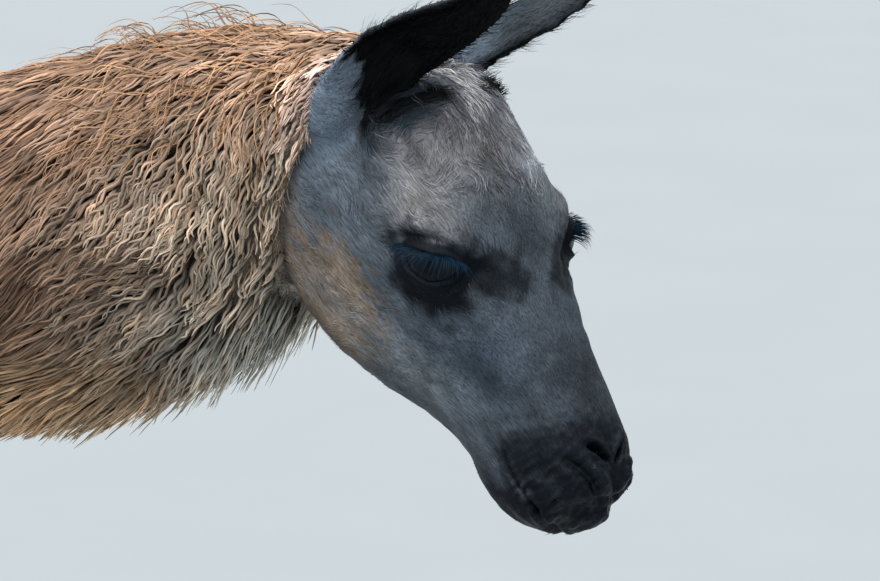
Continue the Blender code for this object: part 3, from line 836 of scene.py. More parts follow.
def body_shell():
    """The body under its coat, and the smooth surface through the tips of the coat."""
    body = shell_of("body_shell", [n for n in FLESH if "ear" not in n], BODY_CELL)
    points, edges = points_of(body.data), edges_of(body.data)
    tips = relaxed(points, edges, 5, 0.5 * ease(0.30, 0.55, points[:, 2]) + 0.04)
    ahead = ahead_of_collar(outward_place(tips))
    fillet = ease(-0.130, -0.020, ahead) * ease(0.006, -0.004, ahead)
    tips = relaxed(tips, edges, 90, 0.5 * fillet)
    set_points(body.data, tips)
    outline = Surface(body.data)
    depth = relaxed(coat_depth(tips)[:, None], edges, 6)
    set_points(body.data, tips - outline.normals * depth)
    return body, outline


def leg_shell(end, side):
    """The shank and the foot in finer cells; the sole stays flat."""
    nodes = [f"{end}_{side}_shank", f"{end}_{side}_foot"]
    leg = shell_of(f"{end}_{side}_shell", nodes, FOOT_CELL, swell=-0.6 * MM)
    points, edges = points_of(leg.data), edges_of(leg.data)
    set_points(leg.data, relaxed(points, edges, 5, 0.5 * ease(0.004, 0.02, points[:, 2])))
    return leg


def joined(head, parts):
    """All the shells as one skin."""
    for part in parts:
        join = head.modifiers.new("join", "BOOLEAN")
        join.operation = "UNION"
        join.solver = "MANIFOLD"
        join.object = part
    skin = applied(head)
    skin.name = skin.data.name = "skin"
    for part in parts:
        bpy.data.objects.remove(part)
    return skin


def sculpt(mesh):
    """Smooths the joins, then models the head and the toes in finer cells."""
    bm = bmesh.new()
    bm.from_mesh(mesh)
    bm.verts.index_update()
    refine(bm, wants_detail)
    bm.to_mesh(mesh)
    mesh.update()
    points, edges = points_of(mesh), edges_of(mesh)
    place = outward_place(points)
    soften = 0.5 * ease(0.0, -0.01, ahead_of_collar(place)) * ease(0.02, 0.05, points[:, 2])
    points = relaxed(points, edges, 6, soften * (1 - on_ear(place)))
    set_points(mesh, points)
    normals = unit(relaxed(normals_of(mesh), edges, 5))
    points = part_toes(sculpt_head(points, normals), normals)
    place = outward_place(points)
    _, far = eye_angles(place)
    settled = ease(0.0, 0.01, ahead_of_collar(place)) * (1 - on_ear(place))
    settled = settled * ease(EYE_RADIUS + 1 * MM, EYE_RADIUS + 5 * MM, far)
    points = relaxed(points, edges, 3, 0.45 * settled)
    before_ear = ease(0.017, 0.010, off_line(place, EAR_MOUTH))
    set_points(mesh, relaxed(points, edges, 22, 0.5 * before_ear))
    bm.clear()
    bm.from_mesh(mesh)
    open_eyes(bm)
    bm.normal_update()
    bm.to_mesh(mesh)
    bm.free()
    mesh.shade_smooth()


def build_skin():
    head = head_shell()
    body, outline = body_shell()
    skin = joined(head, [body] + [leg_shell(end, side) for end, side in LEGS])
    sculpt(skin.data)
    skin.data.materials.clear()
    return skin, outline


class Surface:
    """A mesh to root hair on and to lead it along."""

    def __init__(self, mesh):
        self.points = points_of(mesh)
        self.normals = normals_of(mesh)
        self.triangles = triangles_of(mesh)
        self.tree = BVHTree.FromPolygons(self.points.tolist(), self.triangles.tolist())
        a, b, c = (self.points[self.triangles[:, k]] for k in range(3))
        self.areas = np.linalg.norm(np.cross(b - a, c - a), axis=1) / 2

    def roots(self, spacing, wanted):
        """Places about `spacing` apart where wanted(points, normals) says 1, thinner where it says less."""
        a, b, c = (self.points[self.triangles[:, k]] for k in range(3))
        facing = unit(self.normals[self.triangles].sum(1))
        want = np.clip(wanted((a + b + c) / 3, facing), 0, 1)
        share = self.areas * (want > 0.01)
        count = int(share.sum() / spacing**2 * 3)
        rows = chance.choice(len(share), count, p=share / share.sum())
        p, q = chance.random(count), chance.random(count)
        over = p + q > 1
        p[over], q[over] = 1 - p[over], 1 - q[over]
        here = a[rows] + (b - a)[rows] * p[:, None] + (c - a)[rows] * q[:, None]
        keep = chance.random(count) < want[rows]
        here, rows = here[keep], rows[keep]
        cells = np.floor(here / spacing).astype(np.int64)
        # three large primes give each cell its own number, and each cell keeps one root
        _, first = np.unique(cells @ [73856093, 19349663, 83492791], return_index=True)
        first = np.sort(first)
        here, rows = here[first], rows[first]
        return here, self.smooth_normals(here, rows)

    def smooth_normals(self, here, rows):
        corners = self.triangles[rows]
        gaps = np.linalg.norm(self.points[corners] - here[:, None], axis=2)
        weights = 1 / (gaps + 1e-6)
        return unit((self.normals[corners] * weights[..., None]).sum(1))

    def landed(self, here):
        """The nearest places on the surface, with their normals."""
        found = [self.tree.find_nearest(p) for p in here.tolist()]
        spots = np.array([f[0] for f in found])
        return spots, self.smooth_normals(spots, np.array([f[2] for f in found]))

    def walk(self, start, normals, heading, step, count):
        """`count` points from each start, `step` apart, along heading(points, normals).

        Where the nearest surface faces the other way, across a gap, the path goes straight on instead.
        """
        path, ups = [start], [normals]
        here, up = start, normals
        for _ in range(count - 1):
            ahead = here + heading(here, up) * step[:, None]
            spot, facing = self.landed(ahead)
            own = (dot(facing, up) > 0.2)[:, None]
            here, up = np.where(own, spot, ahead), np.where(own, facing, up)
            path.append(here)
            ups.append(up)
        return np.stack(path, 1), np.stack(ups, 1)


# ---------------------------------------------------------------- the way the hair lies


def laid(way, points, normals, *swirls):
    """A direction laid along the surface and turned by swirls of (radians, size, seed)."""
    way = unit(way - dot(way, normals)[..., None] * normals)
    angle = sum(amount * ripple(points, size, seed) for amount, size, seed in swirls)[..., None]
    return way * np.cos(angle) + np.cross(normals, way) * np.sin(angle)


def fleece_heading(points, normals):
    """Back and down, parted along the neck and the spine, and straight down on the legs and the tail."""
    neck = ease(0.08, 0.30, along_neck(points))
    ahead = ahead_of_collar(outward_place(points))
    fall = 0.44 + 0.42 * ease(-0.02, 0.05, above_axis(points)) + 1.2 * ease(-0.060, -0.010, ahead)
    on_neck = -NECK_AXIS - fall[..., None] * np.array([0, 0, 1.0])
    top = ease(0.75, 0.97, normals[..., 2]) * (1 - neck)
    on_trunk = mix(np.array([-0.50, 0, -1.0]), np.array([-1.0, 0, -0.3]), top)
    side = np.clip(points[..., 1] / 0.050, -1, 1)
    parting = np.stack([0 * side, side * (0.30 + 0.35 * (1 - neck)), 0 * side], -1)
    way = mix(on_trunk, on_neck, neck) + parting * ease(0.15, 0.75, normals[..., 2])[..., None]
    way = mix(way, np.array([-0.1, 0, -1.0]), ease(0.62, 0.50, points[..., 2]))
    way = mix(way, np.array([-0.15, 0, -1.0]), ease(-0.86, -0.90, points[..., 0]))
    return laid(way, points, normals, (0.22, 0.080, 21), (0.09, 0.025, 22))


def face_heading(points, normals):
    """Back from the nose; on the forehead down from between the ears."""
    place = head_place(points)
    s, l, u = place[:, 0], np.abs(place[:, 1]), place[:, 2]
    crown = ease(0.040, 0.060, u) * ease(0.128, 0.085, s)
    cheek = np.stack([-np.ones_like(s), 0 * s, -0.25 * ease(0.0, -0.06, u)], 1)
    brow = np.stack([0.5 + 0 * s, 0.9 * np.clip(l / 0.04, 0, 1), -0.3 + 0 * s], 1)
    way = head_vector(mix(cheek, brow, crown), side_of(place))
    return laid(way, points, normals, (0.45, 0.035, 51), (0.2, 0.012, 52))


def forelock_heading(points, normals):
    place = head_place(points)
    spread = np.clip(np.abs(place[:, 1]) / 0.03, 0, 1)
    way = np.stack([1 + 0 * spread, 0.25 * spread, -0.2 + 0 * spread], 1)
    return laid(head_vector(way, np.sign(place[:, 1])), points, normals, (0.40, 0.022, 61))


def ear_heading(points, normals):
    way = head_vector(np.broadcast_to(EAR_LEAN, points.shape), side_of(head_place(points)))
    return laid(way, points, normals, (0.3, 0.02, 53))


def out_of_ear(points, normals):
    way = head_vector(np.broadcast_to([0.75, 0.55, -0.35], points.shape), side_of(head_place(points)))
    return laid(way, points, normals, (0.6, 0.016, 63))


def leg_heading(points, normals):
    return laid(np.broadcast_to([0, 0, -1.0], points.shape), points, normals, (0.25, 0.04, 54))


# ---------------------------------------------------------------- unwraps of the skin's own shape


def unwrapped(sideways, down, along):
    """Round an axis by along it, each stretched to fill the square."""
    turn = np.arctan2(sideways, down) / (2 * math.pi) + 0.5
    return filled(np.stack([turn, along], 1))


def filled(uv):
    low, high = uv.min(0), uv.max(0)
    return (uv - low) / (high - low)


def neck_unwrap(points):
    t = along_neck(points)
    off = points - NECK_BASE - t[:, None] * NECK_AXIS
    return unwrapped(off[:, 1], -off[:, 2], t)


def body_unwrap(points):
    return unwrapped(points[:, 1], 0.80 - points[:, 2], points[:, 0])


def tail_unwrap(points):
    return unwrapped(points[:, 1], points[:, 0] + 0.93, points[:, 2])


def head_unwrap(points):
    place = head_place(points)
    return unwrapped(place[:, 1], place[:, 2] + 0.02, place[:, 0])


def leg_unwrap(points):
    """Each leg fills its own quarter strip: round it by up it."""
    fore, left = points[:, 0] > -0.4, points[:, 1] > 0
    middle_x = np.where(fore, 0.070, -0.820)
    middle_y = np.where(left, 0.123, -0.123)
    turn = np.arctan2(points[:, 1] - middle_y, points[:, 0] - middle_x) / (2 * math.pi) + 0.5
    return filled(np.stack([(fore * 2 + left + 0.02 + 0.96 * turn) / 4, points[:, 2]], 1))


def ear_unwrap(points):
    """Each ear fills half the width: round its own axis by up it."""
    left = head_place(points)[:, 1] > 0
    off = outward_place(points) - EAR_ROOT
    turn = np.arctan2(off @ np.cross(EAR_LEAN, EAR_OPENS), off @ EAR_OPENS + 0.004) / (2 * math.pi) + 0.5
    return filled(np.stack([(left + 0.02 + 0.96 * turn) / 2, off @ EAR_LEAN], 1))


# ---------------------------------------------------------------- hair as mesh

MOST_TRIANGLES = 190_000
PATCH = 0.003  # each strip's own patch of the unwrap
RIDGE = 0.9  # height of a lock's middle over its edges, for each metre of half width


def strips(name, path, across, half_width, colour, root_uv, material, raised=None):
    """Hair strips along path[n, k]: flat blades, or folded along a middle that is raised."""
    n, k = path.shape[:2]
    sides = 2 if raised is None else 3
    batches = max(1, math.ceil(n * (k - 1) * (sides - 1) * 2 / MOST_TRIANGLES))
    t = np.linspace(0, 1, k)
    lane = np.linspace(-1, 1, sides)
    for number, rows in enumerate(np.array_split(np.arange(n), batches), 1):
        m = len(rows)
        w = (across * half_width[..., None])[rows]
        rails = [path[rows] - w, path[rows] + w]
        if raised is not None:
            rails.insert(1, path[rows] + raised[rows])
        base = np.arange(m)[:, None, None] * (k * sides)
        ring = np.arange(k - 1)[None, :, None] * sides + np.arange(sides - 1)[None, None, :]
        corner = (base + ring).reshape(-1)
        faces = np.stack([corner, corner + 1, corner + 1 + sides, corner + sides], 1)
        title = name if batches == 1 else f"{name}_{number}"
        piece = mesh_from(title, np.stack(rails, 2).reshape(-1, 3), faces)
        mesh = piece.data
        tint = np.ones((m, k, sides, 4), np.float32)
        tint[..., :3] = colour[rows][:, None, None]
        store(mesh, "coat_colour", tint)
        # metres across and along the strip, and a number of its own
        fibre = np.empty((m, k, sides, 3), np.float32)
        length = np.linalg.norm(np.diff(path[rows], axis=1), axis=2).sum(1)
        fibre[..., 0] = lane[None, None, :] * half_width[rows].max(1)[:, None, None]
        fibre[..., 1] = (t[None, :] * length[:, None])[..., None]
        fibre[..., 2] = rows[:, None, None] * 0.37
        store(mesh, "fibre", fibre)
        # share of the way to the tip, a random share for each strip, and share of the way to the edge
        tone = np.empty((m, k, sides, 3), np.float32)
        tone[..., 0] = t[None, :, None]
        tone[..., 1] = np.random.default_rng(number).random(m)[:, None, None]
        tone[..., 2] = np.abs(lane)[None, None, :]
        store(mesh, "tone", tone)
        uv = root_uv[rows][:, None, None] * (1 - 2 * PATCH) + PATCH
        spread = np.stack(np.broadcast_arrays(lane[None, None, :] / 2, (t - 0.5)[None, :, None]), -1)
        uv = (uv + PATCH * spread).reshape(-1, 2)
        layer = mesh.uv_layers.new(name="OFBake")
        layer.data.foreach_set("uv", uv[faces.ravel()].astype(np.float32).ravel())
        mesh.materials.append(material)
        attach(piece, "root")


def each(value, roots):
    """A value for every root, from one number or from a function of the roots."""
    return value(roots) if callable(value) else np.full(len(roots), float(value))


def grow_locks(name, surface, spacing, wanted, unwrap, material, *, length, steps, width, crimp, wave,
               lift, clump=0.6, sink=6 * MM, hang=None, heading=fleece_heading, colour=coat_colour):
    """Wavy locks over a surface. Each size is one number in metres or a function of the roots."""
    roots, normals = surface.roots(spacing, wanted)
    order = np.argsort(roots @ np.array([-1.0, 0.0, 0.15]))
    roots, normals = roots[order], normals[order]
    n = len(roots)
    t = np.linspace(0, 1, steps)
    span = each(length, roots) * chance.uniform(0.75, 1.2, n)
    path, ups = surface.walk(roots, normals, heading, span / (steps - 1), steps)

    # about one lock in eight leads, and the locks round it gather to it, but never across a gap
    leaders = roots[chance.random(n) < 0.13]
    tree = KDTree(len(leaders))
    for row in np.flatnonzero(np.isin(roots[:, 0], leaders[:, 0])):
        tree.insert(roots[row], int(row))
    tree.balance()
    chief = np.array([tree.find(p)[1] for p in roots])
    together = np.linalg.norm(path[chief, -1] - path[:, -1], axis=1) < 0.06
    same_side = together & (dot(normals, normals[chief]) > 0.3)
    gather = (clump * t**1.3)[None, :, None] * same_side[:, None, None]
    path = path + (path[chief] - path) * gather

    way = unit(np.gradient(path, axis=1))
    ups = unit(ups - dot(ups, way)[..., None] * way)
    side = np.cross(ups, way)
    arc = t[None, :] * span[:, None]
    start = 3.0 * ripple(roots, 0.030, 31) + chance.normal(0, 0.55, n)
    own_wave = each(wave, roots) * chance.uniform(0.8, 1.35, n)
    phase = 2 * math.pi * arc / own_wave[:, None] + start[:, None]
    swing = each(crimp, roots)[:, None] * ease(0.0, 0.30, t)[None, :] * chance.uniform(0.6, 1.3, n)[:, None]
    lifted = each(lift, roots) * chance.uniform(0.2, 1.0, n)
    rise = lifted[:, None] * ease(0.1, 0.8, t)[None, :] - each(sink, roots)[:, None] * (1 - ease(0, 0.30, t))
    drift = chance.normal(0, 0.06, n)[:, None] * arc
    path = path + side * (swing * np.sin(phase) + drift)[..., None]
    path = path + ups * (rise + 0.45 * swing * np.cos(phase + 0.6))[..., None]
    if hang:
        path[..., 2] -= each(hang, roots)[:, None] * chance.uniform(0.2, 1.2, n)[:, None] * (t**2)[None, :]

    side = unit(np.cross(ups, unit(np.gradient(path, axis=1))))
    twist = 0.5 * np.sin(phase * 0.5 + start[:, None])
    side = side * np.cos(twist)[..., None] + ups * np.sin(twist)[..., None]
    taper = (np.sqrt(np.clip(1 - t, 0, 1)) * 0.9 + 0.1) * ease(-0.15, 0.12, t)
    half = each(width, roots)[:, None] * chance.uniform(0.6, 1.25, n)[:, None] * taper[None, :] / 2
    warm, cool = np.array([1.08, 0.98, 0.90]), np.array([0.95, 1.02, 1.06])
    tint = colour(roots, normals) * mix(warm, cool, chance.random(n))
    tint = tint * chance.uniform(0.70, 1.30, n)[chief][:, None]
    raised = ups * (half * RIDGE)[..., None]
    strips(name, path, side, half, tint, unwrap(roots), material, raised)


def grow_blades(name, surface, spacing, wanted, unwrap, material, heading, *, length, width, rise,
                steps=3, bend=0.0, colour=coat_colour):
    """Short hair as flat pointed blades that lie along the skin."""
    roots, normals = surface.roots(spacing, wanted)
    n = len(roots)
    way = heading(roots, normals)
    t = np.linspace(0, 1, steps)
    span = (each(length, roots) * chance.uniform(0.7, 1.25, n))[:, None]
    lean = rise * chance.uniform(0.5, 1.4, n)
    side = np.cross(normals, way)
    curve = chance.normal(0, 1, n)[:, None] * bend * span * t[None, :] ** 2
    path = roots[:, None] - normals[:, None] * 0.3 * MM
    path = path + way[:, None] * (span * t)[..., None] + side[:, None] * curve[..., None]
    path = path + normals[:, None] * (span * lean[:, None] * (t - 0.55 * t**2)[None, :])[..., None]
    path[..., 2] = np.maximum(path[..., 2], LOWEST)
    across = unit(np.cross(normals[:, None], unit(np.gradient(path, axis=1))))
    half = each(width, roots)[:, None] * (1.02 - t)[None, :] ** 0.6 * chance.uniform(0.6, 1.2, n)[:, None] / 2
    strips(name, path, across, half, colour(roots, normals), unwrap(roots), material)


# ---------------------------------------------------------------- materials
# The inputs of a Map Range are, in order: value, from low, from high, to low, to high.


def add_node(tree, kind, inputs=(), **settings):
    """Adds a node. Its inputs are values, outputs of other nodes, or nodes for their first output."""
    node = tree.nodes.new("ShaderNode" + kind)
    for key, value in settings.items():
        setattr(node, key, value)
    for key, value in inputs.items() if isinstance(inputs, dict) else enumerate(inputs):
        if isinstance(value, bpy.types.Node):
            value = value.outputs[0]
        if isinstance(value, bpy.types.NodeSocket):
            tree.links.new(value, node.inputs[key])
        else:
            node.inputs[key].default_value = value
    return node


def new_material(name):
    """An empty material, and add_node for its tree."""
    material = bpy.data.materials.new(name)
    material.use_nodes = True
    material.node_tree.nodes.clear()
    return material, partial(add_node, material.node_tree)


def rgba(hex_colour):
    return (*map(float, linear(hex_colour)), 1.0)


def hide_material():
    """Short flat hair over hide, as on a llama's face and shanks.

    Each hair is under 0.1 mm wide, too fine to draw, so the streaks are tufts 0.9 mm wide and 9 mm long that
    run the way the hair lies. They give the eye a brushed, slightly glossy coat.
    """
    material, add = new_material("short_hair_on_hide")
    colour = add("Attribute", attribute_name="coat_colour").outputs["Color"]
    comb = add("Attribute", attribute_name="head_place").outputs["Vector"]
    lie = add("Attribute", attribute_name="lie").outputs["Vector"]
    place = add("TexCoord").outputs["Object"]
    share = add("SeparateXYZ", [lie])
    streaks = []
    for vector, long, wide, axis in ((comb, 9 * MM, 0.9 * MM, 0), (comb, 9 * MM, 0.8 * MM, 2),
                                     (place, 14 * MM, 1.3 * MM, 2)):
        scale = [1 / wide] * 3
        scale[axis] = 1 / long
        drawn = add("VectorMath", [vector, scale], operation="MULTIPLY")
        streaks.append(add("TexNoise", {"Vector": drawn, "Scale": 1.0, "Detail": 3.0, "Roughness": 0.6}))
    face, ear, leg = streaks
    # bare hide on the nose has a fine grain in place of hair
    grain = add("TexNoise", {"Vector": comb, "Scale": 1 / (2.2 * MM), "Detail": 4.0, "Roughness": 0.6})
    tuft = add("Mix", {"Factor": share.outputs["X"], "A": face, "B": ear})
    tuft = add("Mix", {"Factor": share.outputs["Y"], "A": tuft, "B": leg})
    tuft = add("Mix", {"Factor": share.outputs["Z"], "A": tuft, "B": grain})
    mottle = add("TexNoise", {"Vector": comb, "Scale": 1 / (22 * MM), "Detail": 3.0, "Roughness": 0.55})
    fine = add("MapRange", [tuft, 0.3, 0.7, 0.50, 1.60])
    broad = add("MapRange", [mottle, 0.3, 0.7, 0.80, 1.20])
    shade = add("Math", [fine, broad], operation="MULTIPLY")
    shaded = add("VectorMath", {0: colour, "Scale": shade}, operation="SCALE")
    dull = add("MapRange", [share.outputs["Z"], 0.0, 1.0, 0.60, 0.38])
    relief = add("Bump", {"Height": tuft, "Distance": 0.9 * MM, "Strength": 0.55})
    shader = add("BsdfPrincipled", {"Base Color": shaded, "Normal": relief, "Roughness": dull, "IOR": 1.45,
                                    "Specular IOR Level": 0.10})
    add("OutputMaterial", {"Surface": shader})
    return material


def hair_material(name, root_shade, tip_shade, edge_shade, strand, contrast, roughness, sheen):
    """Hair gathered in strips; streaks `strand` wide along each strip stand for the fibres in it."""
    material, add = new_material(name)
    colour = add("Attribute", attribute_name="coat_colour").outputs["Color"]
    fibre = add("Attribute", attribute_name="fibre").outputs["Vector"]
    tone = add("Attribute", attribute_name="tone").outputs["Vector"]
    share = add("SeparateXYZ", [tone])
    drawn = add("VectorMath", [fibre, [1 / strand, 1 / (26 * strand), 1.0]], operation="MULTIPLY")
    streaks = add("TexNoise", {"Vector": drawn, "Scale": 1.0, "Detail": 2.0, "Roughness": 0.5})
    # painted shade towards the roots and painted light towards the tips, then a random tone for each strip,
    # the fibre streaks, and a painted highlight along a raised middle with painted shade at the edges
    shade = add("MapRange", [share.outputs["X"], 0.0, 0.75, root_shade, tip_shade])
    for steps in ([share.outputs["Y"], 0.0, 1.0, 1 - contrast, 1 + contrast], [streaks, 0.3, 0.7, 0.58, 1.42],
                  [share.outputs["Z"], 0.2, 1.0, 1.12, edge_shade]):
        shade = add("Math", [shade, add("MapRange", steps)], operation="MULTIPLY")
    shaded = add("VectorMath", {0: colour, "Scale": shade}, operation="SCALE")
    relief = add("Bump", {"Height": streaks, "Distance": 0.5 * MM, "Strength": 0.7})
    shader = add("BsdfPrincipled", {"Base Color": shaded, "Normal": relief, "Roughness": roughness,
                                    "IOR": 1.5, "Specular IOR Level": 0.12, "Sheen Weight": sheen,
                                    "Sheen Roughness": 0.4})
    add("OutputMaterial", {"Surface": shader})
    return material


def wool_material():
    """Llama fleece: wool 0.03 mm thick, grown crimped and hanging in locks that weather has parted.

    The fibres are far too fine to draw, so each lock has streaks 0.7 mm wide. Painted shade at the roots and
    painted light at the tips give the eye the depth between the locks, and the surface is dull with a little
    sheen.
    """
    return hair_material("crimped_fleece_wool", root_shade=0.16, tip_shade=1.48, edge_shade=0.55,
                         strand=0.70 * MM, contrast=0.30, roughness=0.60, sheen=0.06)


def guard_hair_material():
    """Short straight guard hair, 0.08 mm thick, grown flat and polished by rubbing.

    Each blade stands for several hairs with streaks 0.3 mm wide. Blades differ strongly in tone, which gives
    the eye a grizzled, faintly glossy coat.
    """
    return hair_material("short_guard_hair", root_shade=0.70, tip_shade=1.45, edge_shade=1.0,
                         strand=0.30 * MM, contrast=0.45, roughness=0.50, sheen=0.0)


def lash_material():
    """Eyelash hair, 0.15 mm thick, smooth and greased by the lid: even in tone and glossier than the coat.

    Each lash is drawn 0.28 mm wide, so that it shows.
    """
    return hair_material("lash_hair", root_shade=1.0, tip_shade=1.0, edge_shade=1.0, strand=0.2 * MM,
                         contrast=0.1, roughness=0.35, sheen=0.0)


def eye_material():
    """A living eye: wet clear cornea over a nearly black blue iris with a level pupil. It mirrors the sky."""
    material, add = new_material("wet_eye")
    gaze = add("Attribute", attribute_name="gaze").outputs["Vector"]
    # the pupil is 18 mm long and 9 mm high, the iris 28 mm across
    oval = add("VectorMath", [gaze, (1 / 9.0, 1 / 4.5, 0)], operation="MULTIPLY")
    pupil = add("VectorMath", [oval], operation="LENGTH").outputs["Value"]
    disc = add("VectorMath", [gaze, (1 / 14.0, 1 / 14.0, 0)], operation="MULTIPLY")
    iris = add("VectorMath", [disc], operation="LENGTH").outputs["Value"]
    fibres = add("TexNoise", {"Vector": gaze, "Scale": 0.9, "Detail": 3.0})
    colour = rgba("070b11")
    for steps, paint in (([fibres, 0.35, 0.65, 0, 1], "10151c"), ([pupil, 0.92, 1.05, 1, 0], "030405"),
                         ([iris, 0.92, 1.08, 0, 1], "080b0f")):
        share = add("MapRange", steps)
        colour = add("Mix", {"Factor": share, "A": colour, "B": rgba(paint)}, data_type="RGBA").outputs[2]
    shader = add("BsdfPrincipled", {"Base Color": colour, "Roughness": 0.25, "IOR": 1.38,
                                    "Specular IOR Level": 0.1, "Coat Weight": 0.15, "Coat Roughness": 0.03,
                                    "Coat IOR": 1.38})
    add("OutputMaterial", {"Surface": shader})
    return material


def horn_material():
    """Nail horn: grown in layers and worn by the ground. Fine growth lines 1.5 mm apart, dull, grey black."""
    material, add = new_material("nail_horn")
    place = add("TexCoord").outputs["Object"]
    layers = add("TexWave", {"Vector": place, "Scale": 1 / (1.5 * MM) / 6.28, "Distortion": 2.0,
                             "Detail": 2.0, "Detail Scale": 1.2}, bands_direction="X").outputs["Fac"]
    wear = add("TexNoise", {"Vector": place, "Scale": 1 / (6 * MM)})
    colour = add("Mix", {"Factor": wear, "A": rgba("1e1c1a"), "B": rgba("3a352f")},
                 data_type="RGBA").outputs[2]
    relief = add("Bump", {"Height": layers, "Distance": 0.2 * MM, "Strength": 0.5})
    shader = add("BsdfPrincipled", {"Base Color": colour, "Normal": relief, "Roughness": 0.45, "IOR": 1.54})
    add("OutputMaterial", {"Surface": shader})
    return material


def floor_material():
    """A painted studio floor: matt, pale and even, with the faintest roller mottle."""
    material, add = new_material("pale_floor_paint")
    place = add("TexCoord").outputs["Object"]
    mottle = add("TexNoise", {"Vector": place, "Scale": 3.0})
    colour = add("Mix", {"Factor": mottle, "A": rgba("929697"), "B": rgba("959a9b")},
                 data_type="RGBA").outputs[2]
    shader = add("BsdfPrincipled", {"Base Color": colour, "Roughness": 0.85})
    add("OutputMaterial", {"Surface": shader})
    return material


# ---------------------------------------------------------------- eyes and lashes


def build_eye(side, material):
    """A ball with a slightly fuller cornea, turned the way the eye looks."""
    hand = 1.0 if side == "left" else -1.0
    gaze = head_vector(GAZE[None], np.array([hand]))[0]
    ahead = head_vector(EYE_AHEAD[None], np.array([hand]))[0]
    up = -hand * np.cross(gaze, ahead)
    rings, around = 40, 56
    polar = np.linspace(0, math.pi, rings + 1)[1:-1]
    turn = np.arange(around) * 2 * math.pi / around
    lat, lon = np.meshgrid(polar, turn, indexing="ij")
    local = np.stack([np.sin(lat) * np.cos(lon), np.sin(lat) * np.sin(lon), np.cos(lat)], -1).reshape(-1, 3)
    local = np.vstack([local, [[0, 0, 1]], [[0, 0, -1]]])
    bulge = 1 + 0.035 * ease(0.70, 0.95, local[:, 2])
    local = local * (bulge * (EYE_RADIUS - 0.6 * MM))[:, None]
    points = EYES[side] + local[:, :1] * ahead + local[:, 1:2] * up + local[:, 2:] * gaze
    top, bottom, last = len(points) - 2, len(points) - 1, (rings - 2) * around
    faces = []
    for j in range(around):
        after = (j + 1) % around
        for ring in range(0, last, around):
            faces.append([ring + j, ring + after, ring + after + around])
            faces.append([ring + j, ring + after + around, ring + j + around])
        faces.append([top, after, j])
        faces.append([bottom, last + j, last + after])
    eye = mesh_from(f"eyeball_{side}", points, faces)
    bm = bmesh.new()
    bm.from_mesh(eye.data)
    bmesh.ops.recalc_face_normals(bm, faces=bm.faces)
    bm.to_mesh(eye.data)
    bm.free()
    eye.data.shade_smooth()
    store(eye.data, "gaze", local / MM)
    eye.data.materials.append(material)
    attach(eye, "root")
    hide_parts(f"eye_{side}")


def build_lashes(material):
    """Long lashes in three rows that fan down from each upper lid over the eye."""
    edge = curve_through(UPPER_LID, 200)
    steps = 7
    t = np.linspace(0, 1, steps)
    bend = t[:, None]
    paths, widths, colours, hands = [], [], [], []
    for hand in (1.0, -1.0):
        for row in range(3):
            for at in np.linspace(-50, 60, 76):
                at = at + chance.normal(0, 1.2)
                out = eye_direction(edge[np.abs(edge[:, 0] - at).argmin()])
                fan = math.sin(math.radians(at - 8))
                length = (15 + 4 * math.cos(math.radians(at))) * MM * chance.uniform(0.75, 1.1)
                start = EYE_PLACE + out * (EYE_RADIUS + (1.2 + 0.5 * row) * MM)
                spread = EYE_AHEAD * fan * 0.75
                outward = unit(out * 0.85 + GAZE * 0.35 + spread + chance.normal(0, 0.07, 3))
                down = unit(-EYE_UP + spread + GAZE * 0.1)
                droop = (0.30 + 0.70 * math.cos(math.radians(at)) ** 2) * (1 - 0.28 * row)
                line = start + length * (outward * (bend - 0.45 * bend**2) * (1.25 - 0.5 * droop)
                                         + down * droop * (0.25 * bend + 0.60 * bend**2))
                paths.append(world_of(line, np.full(steps, hand)))
                widths.append(0.28 * MM * (1.05 - t))
                # each lash a random shade of the dark colour with its painted blue sheen
                colours.append(LASH_SHEEN_BLUE * chance.uniform(0.3, 1.5))
                hands.append(hand)
    path = np.array(paths)
    gaze = head_vector(np.broadcast_to(GAZE, (len(path), 3)), np.array(hands))
    across = unit(np.cross(unit(np.gradient(path, axis=1)), gaze[:, None]))
    uv = filled(outward_place(path[:, 0])[:, [0, 2]])
    strips("lashes", path, across, np.array(widths), np.array(colours), uv, material)


# ---------------------------------------------------------------- the fleece on the neck and the body

NECK_LOCKS_END = 0.36  # how far along the neck the fine locks of its front give way to the shoulder's
TAIL_ROOT = -0.872  # how far back the tail's fleece starts


def short_at_edge(points):
    """0 at the fleece's edge behind the ears and the jaw, 1 further back."""
    return ease(0.0, -0.045, past_border(points))


def on_crest(points):
    return ease(0.035, 0.080, above_axis(points))


def near_poll(points):
    return on_crest(points) * ease(0.54, 0.62, along_neck(points))


def at_throat(points):
    return ease(-0.045, -0.090, above_axis(points)) * ease(0.44, 0.55, along_neck(points))


def neck_front(points, normals):
    return (past_border(points) < 0.004) * (along_neck(points) > NECK_LOCKS_END) * (points[:, 2] > 0.80)


def neck_length(points):
    full = np.maximum(short_at_edge(points), 0.7 * at_throat(points))
    return 0.016 + 0.030 * full + 0.016 * ease(0.60, 0.50, along_neck(points))


def neck_crimp(points):
    near_head = 0.30 + 0.70 * ease(0.50, 0.60, along_neck(points))
    return 1.5 * MM * near_head * (0.5 + 0.5 * short_at_edge(points)) * (1 - 0.5 * on_crest(points))


def under_neck(points):
    return ease(-0.060, -0.100, above_axis(points))


def neck_lift(points):
    stand = (2.5 + 2 * on_crest(points)) * short_at_edge(points) * (1 - 0.7 * under_neck(points))
    return (0.5 + stand + 9 * at_throat(points)) * MM


def throat_fall(points):
    return (2 * under_neck(points) + (30 - 15 * short_at_edge(points)) * at_throat(points)) * MM


def colour_behind(points, normals):
    """The wool's colour from 12 mm further back, so that no dark face hair colours the fleece's edge."""
    return coat_colour(points - head_vector(COLLAR_FACING[None])[0] * 12 * MM, normals)


def along_collar(points, normals):
    return (past_border(points) > -0.024) * (past_border(points) < 0.002)


